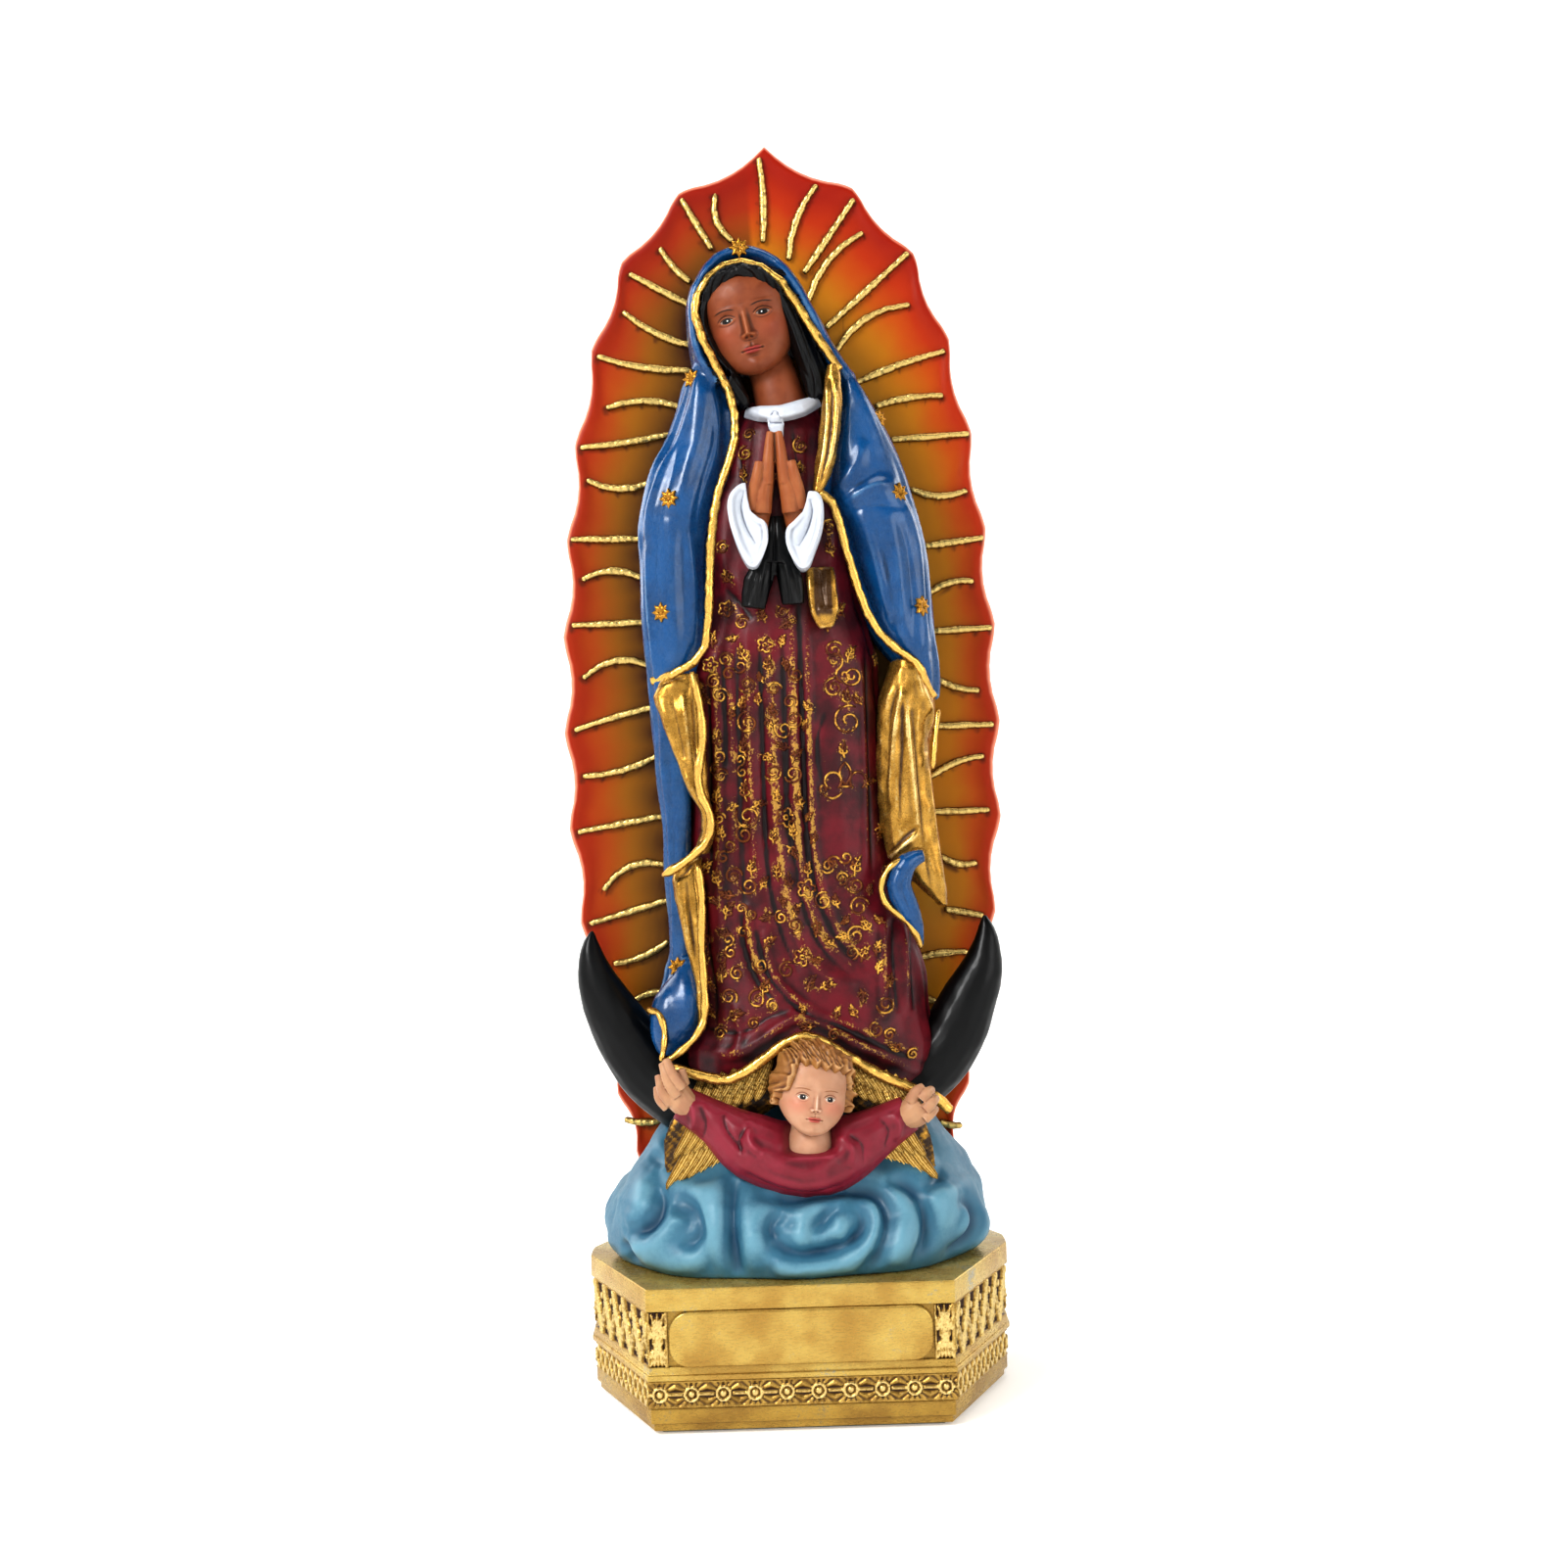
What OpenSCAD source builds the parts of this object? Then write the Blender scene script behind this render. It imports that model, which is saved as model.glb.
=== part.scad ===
// Madonna statue: a robed figure before an oval sunburst panel, standing in a crescent that a
// small angel bears on a cloud, all on a six-sided plinth.
// +Z is up, the front faces -Y, and the origin is the middle of the underside.
// Left and right are the viewer's, from the front.

/* [Plinth] */
// Width over the two side corners
plinth_w = 98.6; // [92:0.2:106]
// Depth from the front face to the back face
plinth_d = 80; // [74:1:90]
// Width of the front face and of the back face
plinth_front_w = 67.4; // [60:0.2:70]
// Height of the plinth
plinth_h = 32; // [28:0.5:40]
// Thickness of the felt pad under the foot
felt_t = 0.8; // [0.5:0.1:2]
// Height of the foot slab with the felt
foot_h = 6; // [4:0.5:7]
// Height of the plain slab at the top
top_h = 5; // [3:0.5:7]
// Number of beads along the front
bead_count = 10; // [6:1:12]
// Radius of one bead with its ring
bead_r = 2; // [1.2:0.1:2.4]

/* [Sunburst panel] */
// Height of the whole statue
statue_h = 300; // [298:0.5:304]
// Thickness of the panel
panel_t = 6; // [3:0.5:8]
// Depth of the scallop between two tips
scallop = 2.7; // [0:0.1:4]
// Width of the rounded rim
rim_w = 1.3; // [0.4:0.1:2]
// Width of a ray at its middle
ray_w = 1.7; // [0.8:0.1:2.6]
// Height of a ray above the panel
ray_h = 1.1; // [0.5:0.1:2]

/* [Figure] */
// Thickness of the rope edging on the mantle
trim_w = 2; // [1:0.1:3]
// Width of a star from point to point
star_w = 5; // [3:0.1:7]
// Height of a star above the cloth
star_h = 1; // [0.5:0.1:2]
// Diameter of the steel dowels
dowel_d = 4; // [2:0.5:6]

/* [Hidden] */

$fn = 48;

core_w = plinth_w - 2.4;
moulding_z = foot_h + 6;
moulding_h = 3;
frieze_z = moulding_z + moulding_h;
frieze_h = plinth_h - top_h - frieze_z;
side_x = (plinth_w - plinth_front_w) / 2;
side_y = plinth_d / 2 - 4;
side_len = norm([side_x, side_y]);
side_angle = atan2(side_y, side_x);
// heights above the plinth are written for a plinth of this height
drawn_plinth_h = 32;
rise = plinth_h - drawn_plinth_h;
// front face of the sunburst panel, and the height of its foot inside the cloud
panel_front = 13;
panel_foot = 42;

// ---- helpers ----

function near(p, i) = p[min(max(i, 0), len(p) - 1)];

// one point of a smooth curve that passes through b at t = 0 and c at t = 1
function between(a, b, c, d, t) = 0.5 * (2 * b + (c - a) * t
    + (2 * a - 5 * b + 4 * c - d) * t * t + (3 * b - a - 3 * c + d) * t * t * t);

// smooth curve through a list of points, with the given steps in each span
function smooth(p, steps) = concat(
    [for (i = [0:len(p) - 2], s = [0:steps - 1])
        between(near(p, i - 1), p[i], p[i + 1], near(p, i + 2), s / steps)],
    [p[len(p) - 1]]);

// oval ring at one height, from [z, left, right, front, back]; a low power makes it squarer
function soft(v, power) = sign(v) * pow(abs(v), power);
function oval(row, sides, power) = [for (j = [0:sides - 1])
    let (t = 360 * j / sides)
    [(row[1] + row[2]) / 2 + (row[2] - row[1]) / 2 * soft(cos(t), power),
     (row[3] + row[4]) / 2 + (row[4] - row[3]) / 2 * soft(sin(t), power),
     row[0]]];

// closed solid through rings of equal length
module skin(rings) {
    n = len(rings[0]);
    top = (len(rings) - 1) * n;
    walls = [for (i = [0:len(rings) - 2], j = [0:n - 1], half = [0, 1])
        let (a = i * n + j, b = i * n + (j + 1) % n)
        half == 0 ? [a, b + n, b] : [a, a + n, b + n]];
    ends = [[for (j = [0:n - 1]) j], [for (j = [n - 1:-1:0]) top + j]];
    translate([0, 0, rise])
        polyhedron([for (ring = rings) each ring], concat(walls, ends), convexity = 8);
}

// upright body through ovals, from rows of [z, left, right, front, back], lowest first
module body(rows, sides = 24, power = 0.85, steps = 2)
    skin([for (row = smooth(rows, steps)) oval(row, sides, power)]);

// rope or limb along rows of [x, y, z, half width, half depth]; its depth lies along Y
module limb(rows, sides = 12, steps = 2) {
    path = smooth(rows, steps);
    skin([for (i = [0:len(path) - 1])
        let (p = path[i], q = near(path, i + 1) - near(path, i - 1),
             along = [q[0], 0, q[2]] / norm([q[0], q[2]]),
             across = cross([0, 1, 0], along))
        [for (j = [0:sides - 1])
            let (t = 360 * j / sides)
            [p[0], p[1], p[2]] + across * p[3] * cos(t) + [0, p[4] * sin(t), 0]]]);
}

// edging of even thickness along points of [x, y, z]
module edging(points, width = trim_w, sides = 8, steps = 2)
    limb([for (p = points) [p[0], p[1], p[2], width / 2, width / 2]], sides, steps);

// slab with the plinth's outline, grown or shrunk by an amount
module plinth_slab(z, h, grow) intersection() {
    front = plinth_front_w / 2 + grow * 0.7;
    tip = plinth_w / 2 + 4 * side_x / side_y + grow;
    depth = plinth_d / 2 + min(grow, 0);
    translate([0, 0, z])
        linear_extrude(h)
            polygon([[-front, -depth], [front, -depth], [tip, 0],
                     [front, depth], [-front, depth], [-tip, 0]]);
    // eases the two side corners and leaves the four others sharp
    translate([0, 0, z - 1])
        scale([1, 1.25, 1])
            cylinder(r = plinth_w / 2 + grow, h = h + 2, $fn = 96);
}

// places a child on each of the four slanted faces: x along the face, outwards is -y
module on_slants() for (sx = [0, 1], sy = [0, 1])
    mirror([sx, 0, 0]) mirror([0, sy, 0])
        translate([plinth_front_w / 2, -plinth_d / 2, 0])
            rotate([0, 0, side_angle])
                children();

// places a child on the front face and on the back face
module on_fronts() for (turn = [0, 180])
    rotate([0, 0, turn])
        translate([0, -plinth_d / 2, 0])
            children();

// ---- plinth ----

module felt_pad() color("darkgreen")
    plinth_slab(0, felt_t, -4);

module plinth_foot() color("goldenrod") {
    plinth_slab(felt_t, 1.7, -1.6);
    plinth_slab(felt_t + 1.7, foot_h - felt_t - 1.7, -0.8);
}

module plinth_core() color("darkgoldenrod") difference() {
    plinth_slab(foot_h, plinth_h - top_h - foot_h, -1.2);
    dowel_row();
}

module plinth_moulding() color("gold") difference() {
    union() {
        plinth_slab(moulding_z, moulding_h * 0.42, 0);
        plinth_slab(moulding_z + moulding_h * 0.42, moulding_h * 0.58, -0.5);
    }
    translate([0, 0, -1])
        plinth_slab(moulding_z, moulding_h + 2, -1.2);
}

module plinth_top() color("khaki") difference() {
    plinth_slab(plinth_h - top_h, top_h, -0.1);
    dowel_row();
}

// a raised boss inside a ring, standing on the front or back face of the core
module bead() translate([0, 1.2, foot_h + 3]) rotate([90, 0, 0]) {
    cylinder(r = bead_r * 0.55, h = 1.1);
    difference() {
        cylinder(r = bead_r, h = 0.8);
        translate([0, 0, -1])
            cylinder(r = bead_r * 0.75, h = 3);
    }
}

module plinth_beads() color("gold") on_fronts()
    for (i = [0:bead_count - 1])
        translate([(i - (bead_count - 1) / 2) * (plinth_front_w - 5) / (bead_count - 1), 0, 0])
            bead();

module plinth_lattice() color("darkgoldenrod") on_slants()
    for (i = [0:7], row = [0, 1])
        translate([3 + i * (side_len - 6) / 7, 1.2, foot_h + 1.8 + row * 2.6])
            rotate([90, 0, 0])
                cylinder(r = 1.2, h = 0.9, $fn = 4);

// a pointed leaf that stands on its stem, flat against a face
module leaf(w, h) translate([0, 1.2, 0]) rotate([90, 0, 0])
    linear_extrude(1.1)
        polygon([for (side = [1, -1], i = [0:8])
            let (t = side > 0 ? i / 9 : 1 - i / 9)
            [side * (w / 2 * pow(sin(180 * t), 0.7) + w * 0.06), h * t]]);

module plinth_leaves() color("goldenrod") {
    on_slants()
        for (i = [0:6])
            translate([3.4 + i * (side_len - 6.8) / 6, 0, frieze_z])
                leaf(4.2, frieze_h);
    on_fronts()
        for (side = [-1, 1])
            translate([side * (plinth_front_w / 2 - 2.2), 0, frieze_z])
                leaf(3.4, frieze_h);
}

module name_plate() color("gold") {
    w = 57.6;
    r = 4.4;
    translate([0, -plinth_d / 2 + 1.2, frieze_z])
        rotate([90, 0, 0])
            linear_extrude(1.6) {
                translate([-w / 2 + r, 0])
                    square([w - 2 * r, frieze_h]);
                translate([-w / 2, r])
                    square([w, frieze_h - 2 * r]);
                for (x = [r - w / 2, w / 2 - r], y = [r, frieze_h - r])
                    translate([x, y])
                        circle(r = r);
            }
}

// two dowels side by side, from the plinth core up into the cloud
module dowel_row() for (x = [-18, 18])
    translate([x, 0, plinth_h - 10])
        cylinder(d = dowel_d, h = 20);

module base_dowels() color("silver") dowel_row();

// ---- cloud, angel and crescent ----

// lobed ring of the cloud at one height
function puff(row, sides) = [for (p = oval(row, sides, 0.9))
    let (turn = atan2(p[1], p[0]), swell = 1 + 0.02 * cos(9 * turn + 14 * row[0]))
    [p[0] * swell, p[1] * swell, row[0]]];

module cloud() color("skyblue") difference() {
    rows = [[32, -41, 40.5, -34.5, 27], [36, -44.3, 43.8, -35.5, 29],
        [41, -45, 44.5, -35, 29.5], [47, -42.8, 43, -32.5, 28.5],
        [53, -38.2, 39.6, -27, 27], [59, -33.6, 35.6, -20, 24],
        [64, -29.4, 32, -12, 20], [66.5, -21, 24, -5, 15]];
    skin([for (row = smooth(rows, 2)) puff(row, 54)]);
    dowel_row();
}

module angel_tunic() color("brown")
    limb([[-25.5, -24, 70, 3.9, 4], [-18, -24, 65.4, 5, 5.5], [-10, -25, 60, 7.6, 8],
        [2.5, -26, 55.8, 7.8, 9], [11, -25, 58.4, 7.8, 8], [19, -24, 62.4, 5.6, 5.6],
        [26, -24, 66.2, 4.2, 4]], 18, 3);

module angel_head() color("bisque")
    body([[57.5, -0.5, 7.2, -31.5, -23], [60.5, -1, 8, -34, -21], [64, -3.4, 10.4, -36, -19.5],
        [68, -4.7, 11.6, -36.8, -18.5], [72, -5.2, 12.2, -36.8, -18], [76, -4.8, 12, -35.6, -18],
        [79.5, -2.5, 10, -32.8, -20], [81.3, 1.2, 6.2, -29, -24.5]], 20, 1);

module angel_hair() color("peru") difference() {
    body([[62.5, -4, 11.5, -24, -17], [66, -5.8, 13, -27.5, -16.5],
        [71, -6.4, 13.6, -30, -16], [75.5, -6.2, 13.4, -33.5, -16],
        [79.6, -4, 11.6, -34.6, -17.5], [82.8, 0.8, 7.4, -30.5, -22.5]], 20, 1);
    angel_head();
}

module angel_left_hand() color("bisque")
    limb([[-23.5, -25.5, 69, 3, 3], [-26, -26, 72, 3.9, 3.8], [-28.2, -26, 76, 3.3, 3.6],
        [-29.4, -26, 80.5, 1.6, 2]], 14);

module angel_right_hand() color("bisque")
    limb([[25, -25.5, 65.6, 3, 3], [27.2, -26, 66.6, 4.6, 3.8], [29.6, -26, 68.4, 4.4, 3.6],
        [31.6, -26, 70.6, 1.9, 2]], 14);

module angel_left_wing() color("gold")
    limb([[-3, -16, 72, 4.4, 1.6], [-12, -17, 69, 6.2, 2.2], [-21, -18, 64, 7.4, 2.4],
        [-26, -18.5, 58, 5.4, 2], [-28.6, -18.5, 51, 1.4, 0.8]], 14);

module angel_right_wing() color("gold")
    limb([[10, -16, 71.5, 4.4, 1.6], [17, -17, 68, 6.2, 2.2], [24, -18, 62.5, 6.2, 2.4],
        [28, -18.5, 57, 4.6, 2], [31.4, -18.5, 52, 1.4, 0.8]], 14);

module crescent_left_horn() color("black")
    limb([[-46.4, -4, 108.6, 0.5, 0.5], [-46.8, -4, 104, 2.6, 2.6], [-45.6, -4, 97, 4.7, 4.6],
        [-42.6, -4, 89.6, 6.3, 6], [-38.4, -4, 82, 7.5, 7], [-33, -4, 74.8, 8.2, 7.8],
        [-26, -4, 69, 8.4, 8], [-17, -4, 65.4, 8.4, 8]], 18, 3);

module crescent_right_horn() color("black")
    limb([[46.4, -4, 109, 0.5, 0.5], [46.6, -4, 104, 2.7, 2.6], [45.4, -4, 97, 5, 4.6],
        [42.2, -4, 89.6, 6.5, 6], [38.4, -4, 82, 7.6, 7], [33.4, -4, 75.4, 8.2, 7.8],
        [26, -4, 69.4, 8.4, 8], [17, -4, 65.6, 8.4, 8]], 18, 3);

// ---- robed figure ----

module gown() color("maroon")
    body([[68, -20, 29, -15, 11], [74, -24.5, 32.5, -19.5, 12], [80, -25, 33.6, -21.5, 12.5],
        [88, -21.8, 32, -20.5, 12.5], [100, -21.4, 30, -18, 12.5], [112, -21.4, 26.5, -16.5, 12.5],
        [126, -21, 23, -15.5, 12.5], [145, -20.4, 21.8, -15, 12.5], [170, -19.6, 21.6, -14, 12.5],
        [185, -17, 19, -13.5, 12.5], [200, -16, 17, -13, 12.5], [209, -15, 14.5, -12.5, 12.5],
        [217, -12, 13, -12, 12], [225, -10, 13, -11, 10], [231, -7.5, 11, -8, 8],
        [234, -3, 8, -6, 5]], 24, 0.85);

module gown_hem_trim() color("gold")
    edging([[-27.5, -21, 77.4], [-24, -21.6, 76.6], [-19.5, -22, 75.2], [-14.5, -22.4, 74.8],
        [-9, -22.8, 77.4], [-4, -23, 81], [1, -23.2, 83.8], [5, -23.2, 83.6],
        [10, -23, 80.8], [16, -22.8, 77], [22, -22.6, 73.6], [27.5, -22.4, 71.2],
        [32, -22, 69.4], [35.4, -21, 66]]);

module mantle_left_side() color("royalblue")
    body([[86, -31, -23, -9, 12], [93, -29.5, -22, -9, 12.5], [101, -28, -21.8, -9.5, 12.8],
        [118, -28.4, -21.6, -10, 12.8], [140, -29.6, -20.8, -10.5, 12.8],
        [156, -30.6, -21, -11, 12.8], [166, -31.4, -19.6, -12.5, 12.8],
        [174, -31.8, -16.6, -13.5, 12.8], [186, -32.2, -15.8, -14, 12.8],
        [199, -32.6, -15, -15, 12.8], [207, -31.6, -13.4, -15.5, 12.8],
        [214, -29.6, -11, -14.5, 12.8], [222, -26.4, -9, -13, 12.8],
        [230, -23.2, -8.8, -12.5, 12.8], [237, -20.6, -11, -11.5, 12.5],
        [243, -18.4, -14.2, -9, 11]], 24, 0.8);

module mantle_right_side() color("royalblue")
    body([[161, 33.4, 36.8, -9, 9], [166, 31, 37, -11.5, 12], [172, 26, 36.8, -13.5, 12.8],
        [179, 21, 36.5, -14, 12.8], [188, 18.2, 36, -14.5, 12.8], [197, 16, 35.2, -15, 12.8],
        [204, 14, 33.8, -15.5, 12.8], [209, 11, 32.2, -15.5, 12.8], [215, 11.4, 30.2, -14.5, 12.8],
        [223, 13.2, 27, -13.5, 12.8], [231, 15, 23.4, -12.5, 12.8], [238, 15.8, 19.6, -11, 12],
        [243, 14.4, 16.6, -9, 10]], 24, 0.8);

module mantle_hood() color("royalblue")
    limb([[-12.4, 0, 236, 3.4, 12], [-16.4, 0, 242, 2.2, 12.4], [-18, 0, 249, 1.9, 12.6],
        [-17.9, 0, 255.5, 2, 12.6], [-15.4, 0, 261.4, 2.3, 12.4], [-11.4, 0, 265.8, 2.6, 11.8],
        [-6.4, 0, 267.4, 2.7, 11.4], [-1.2, 0, 266, 2.7, 11.8], [3.6, 0, 262.2, 2.6, 12.4],
        [7.4, 0, 256.4, 2.3, 12.6], [10.6, 0, 249.6, 2.3, 12.6], [14, 0, 243, 2.6, 12.4],
        [17.6, 0, 236.6, 3, 12]], 18);

module mantle_left_corner() color("royalblue")
    body([[79.6, -29.4, -27, -15, -8], [83, -30.6, -23.6, -17.5, -6], [88, -30.8, -21.4, -18, -5],
        [93, -30, -20.8, -17, -5], [98, -27, -21, -14.5, -5], [102, -25.6, -22, -12, -6]], 18, 0.85);

module mantle_right_corner() color("royalblue")
    limb([[31.8, -15, 124, 1.4, 1.6], [28, -16, 122.6, 2.4, 2.6], [25.6, -16.4, 117.6, 3, 3],
        [27.4, -15.6, 112.4, 2.8, 3], [29.6, -14, 107.6, 1.8, 2.4], [30.8, -12, 103, 0.5, 0.8]], 14);

module mantle_trim() color("gold") {
    edging([[-30.4, -9, 166.6], [-25.4, -13.6, 167.6], [-20, -14.8, 170.4], [-17.2, -15, 174],
        [-16.3, -15.2, 180], [-15.8, -15.6, 188], [-15.2, -16, 197], [-14.4, -16.2, 204],
        [-12.8, -16, 210.4], [-10.6, -15.4, 216], [-9, -14.6, 222], [-8.8, -14, 228],
        [-10.2, -13.4, 234], [-13, -13, 240], [-15.8, -12.8, 246], [-17.4, -12.6, 252],
        [-16.8, -12.6, 257], [-14, -12.4, 261.6], [-10.4, -12, 264.6], [-6.2, -11.6, 265.4],
        [-1.6, -12, 264], [3, -12.6, 260], [6.4, -12.8, 254], [9.6, -13, 248],
        [13, -13.2, 242.6], [16, -13.4, 237.6]], trim_w, 8, 1);
    edging([[10.4, -16.4, 208.6], [13, -16.6, 206.4], [14.6, -16.6, 202], [16, -16.2, 196],
        [17.8, -15.8, 189], [20, -15.2, 182], [23.2, -14.8, 176], [27.4, -14, 172],
        [31.6, -12.6, 169], [33.4, -11.6, 165], [36, -8, 160.8]]);
}

// an eight-pointed star that lies in the XZ plane and stands out towards the front
module star() rotate([90, 0, 0])
    linear_extrude(star_h)
        polygon([for (i = [0:15])
            let (r = i % 2 == 0 ? star_w / 2 : star_w * 0.3)
            [r * sin(22.5 * i), r * cos(22.5 * i)]]);

// one row a star: [x, y, z, turn about the upright]
star_places = [[-6.6, -10.4, 267.6, 0], [-18.4, -7.4, 237.6, -30], [-24.4, -12.6, 208.6, -22],
    [-27, -12.4, 182.4, -24], [-26, -11.4, 99.8, 0], [24.6, -8.2, 227.6, 40],
    [28.6, -11.4, 208.6, 38], [33, -9, 182, 50]];

module mantle_stars() color("gold") for (place = star_places)
    translate([place[0], place[1], place[2] + rise])
        rotate([0, 0, place[3]])
            star();

module lining_left_upper() color("goldenrod")
    body([[126, -21.6, -18, -16, -8], [131, -19.6, -16.6, -17, -8], [136, -20, -16.8, -17, -8],
        [141, -22.4, -17.8, -16.8, -8], [149, -25, -18.2, -16.4, -8],
        [158, -28.4, -18.6, -15.6, -8], [163, -29.8, -18.8, -14.8, -8],
        [168, -27, -19.2, -14, -8]], 18, 0.8);

module lining_left_lower() color("goldenrod")
    body([[86, -21.6, -20.2, -18, -10], [94, -21.8, -19.8, -18, -10], [102, -23.4, -19.8, -17, -9],
        [112, -25.4, -20, -16.4, -8], [120, -26.8, -20.2, -15.8, -8],
        [125, -24.6, -19.6, -15.6, -8]], 18, 0.8);

module lining_right() color("goldenrod")
    body([[112, 35.4, 37.6, -11, -5], [117, 30.6, 37.4, -12.5, -2], [124, 23.6, 36.6, -14, 4],
        [138, 21.8, 35.4, -14.5, 10], [151, 22, 35, -14.5, 12], [159, 22.4, 36.6, -14, 12],
        [165, 24.4, 35.6, -13.5, 11], [170, 26.4, 32.6, -12.5, 8]], 20, 0.8);

module lining_lapel() color("goldenrod")
    limb([[14.4, -12.6, 239, 1.3, 2], [14.2, -14, 232, 2.3, 2.2], [13, -15, 222, 2.5, 2.2],
        [11.2, -16, 213, 2, 2], [9.6, -16.6, 208.6, 0.9, 1.4]], 14);

module sleeve_lining() color("goldenrod")
    limb([[9.8, -14, 191.6, 3.4, 2.2], [10, -15, 187, 3.4, 2.6], [10.6, -15.4, 181, 3, 2.6],
        [11, -15.2, 177.4, 1.6, 1.8]], 16);

module madonna_head() color("sienna")
    body([[226, -3.6, 9.4, -8.5, 3], [231, -4, 8, -9, 3], [236, -4.6, 6.4, -10.5, 3],
        [239, -6.4, 4, -13, 4], [242, -9.4, 4.2, -15, 5], [247, -12.6, 5, -16, 7],
        [252, -14.6, 4.6, -16.2, 8], [257, -15, 2.6, -15.6, 8], [261, -13.4, 0.6, -13.6, 7],
        [264, -10.6, -2.4, -10.4, 5]], 26, 1);

module madonna_hair() color("black")
    limb([[-6, -9, 230.6, 1, 2], [-9.4, -9, 236, 2.6, 3.6], [-13.4, -7, 243, 2.4, 5],
        [-15.6, -6, 250, 1.8, 6.5], [-15, -5.5, 256, 1.9, 7], [-12, -5, 261.4, 2.2, 7.4],
        [-7.4, -4.6, 264, 2, 7.4], [-2, -5, 262, 2.4, 7.4], [2.4, -6, 256.6, 2.6, 7],
        [5.4, -7, 250, 2.6, 6], [8, -8.4, 243, 2.6, 4.6], [10.6, -9.4, 236.6, 2, 3.2],
        [11.4, -10, 232.4, 0.9, 2]], 16);

module collar() color("white") {
    limb([[-6.4, -7, 229.6, 1.2, 2], [-3, -10.4, 228.6, 1.9, 2.2], [2, -11.8, 228.2, 2, 2.2],
        [7, -10.6, 229.6, 2.1, 2.2], [11, -7.6, 231.8, 1.4, 2]], 14);
    limb([[0.6, -12.6, 228, 2, 1], [0.8, -13, 225, 1.9, 1.1], [1.4, -13, 221.8, 1, 0.9]], 10);
}

module left_cuff() color("white")
    limb([[-9, -15, 210.4, 1.4, 2], [-9, -16.4, 206, 2.4, 3.4], [-7.6, -17, 200, 3.4, 3.8],
        [-6, -17, 195, 2.9, 3.4], [-5.4, -17, 191.6, 1.6, 2.2]], 16);

module right_cuff() color("white")
    limb([[9.8, -15, 208, 1.4, 2], [9.2, -16.4, 204.6, 2.4, 3.4], [7.4, -17, 199, 3.3, 3.8],
        [6, -17, 194.6, 2.8, 3.4], [5.6, -17, 191.4, 1.6, 2.2]], 16);

module praying_hands() color("sienna")
    body([[201.4, -5.4, 6, -18.5, -13], [204, -6.8, 7.2, -19.5, -12.5], [208, -6.8, 7, -20.5, -12.5],
        [212, -5.8, 5.6, -21, -13.5], [217, -4.2, 4.2, -21, -15], [221, -2.9, 3, -20.5, -16],
        [223.6, -1.8, 2, -19.5, -17]], 20, 0.9);

module sash_ribbon() color("black") {
    limb([[0.2, -15, 203.6, 1.8, 1.4], [0, -16, 198, 2.4, 1.8], [-0.4, -16, 192.6, 3.4, 2.2]], 14);
    limb([[-1.6, -15.4, 194, 2.4, 1.6], [-4.6, -16, 188.4, 3.4, 1.7],
        [-5.8, -16, 182.4, 2.8, 1.4]], 14);
    limb([[1.2, -15.4, 194, 2.2, 1.6], [3, -16, 188.4, 3, 1.7], [3.4, -16, 183, 2.6, 1.4]], 14);
}

// ---- sunburst panel ----

// tips of the scalloped outline on the right-hand side, from the crown down
tips = [[0, statue_h - rise], [22, 290], [37.2, 272.6], [45, 251.2], [49.8, 227.6],
    [52.5, 203.8], [54, 180], [54.4, 156], [53.9, 132.4], [51.8, 109], [48, 87],
    [44, 67], [39.6, 51], [36, panel_foot]];

// points of the arc that hollows the edge between two tips
function hollow(a, b, steps) = let (d = b - a, pull = 2 * scallop * [d[1], -d[0]] / norm(d))
    [for (s = [0:steps - 1])
        let (t = s / steps)
        (1 - t) * (1 - t) * a + 2 * t * (1 - t) * ((a + b) / 2 + pull) + t * t * b];

// the corners of a half outline eased by drawing each point towards its neighbours
function eased(p) = [for (i = [0:len(p) - 1])
    i == 0 || i == len(p) - 1 ? p[i] : (p[i - 1] + 2 * p[i] + p[i + 1]) / 4];

half_outline = eased(concat(
    [for (i = [0:len(tips) - 2]) each hollow(tips[i], tips[i + 1], 7)],
    [tips[len(tips) - 1]]));
outline = concat(half_outline,
    [for (i = [len(half_outline) - 1:-1:1]) [-half_outline[i][0], half_outline[i][1]]]);

// the outline at one depth, drawn in from the edge by an amount
function panel_ring(y, inset) = let (mid_z = 165)
    [for (p = outline)
        [p[0] * (1 - inset / 54), y, mid_z + (p[1] - mid_z) * (1 - inset / 130)]];

module sunburst_panel() color("orangered") difference() {
    skin([panel_ring(panel_front, rim_w), panel_ring(panel_front + rim_w * 0.4, rim_w * 0.35),
        panel_ring(panel_front + rim_w, 0), panel_ring(panel_front + panel_t - rim_w, 0),
        panel_ring(panel_front + panel_t, rim_w)]);
    panel_dowels();
}

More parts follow.
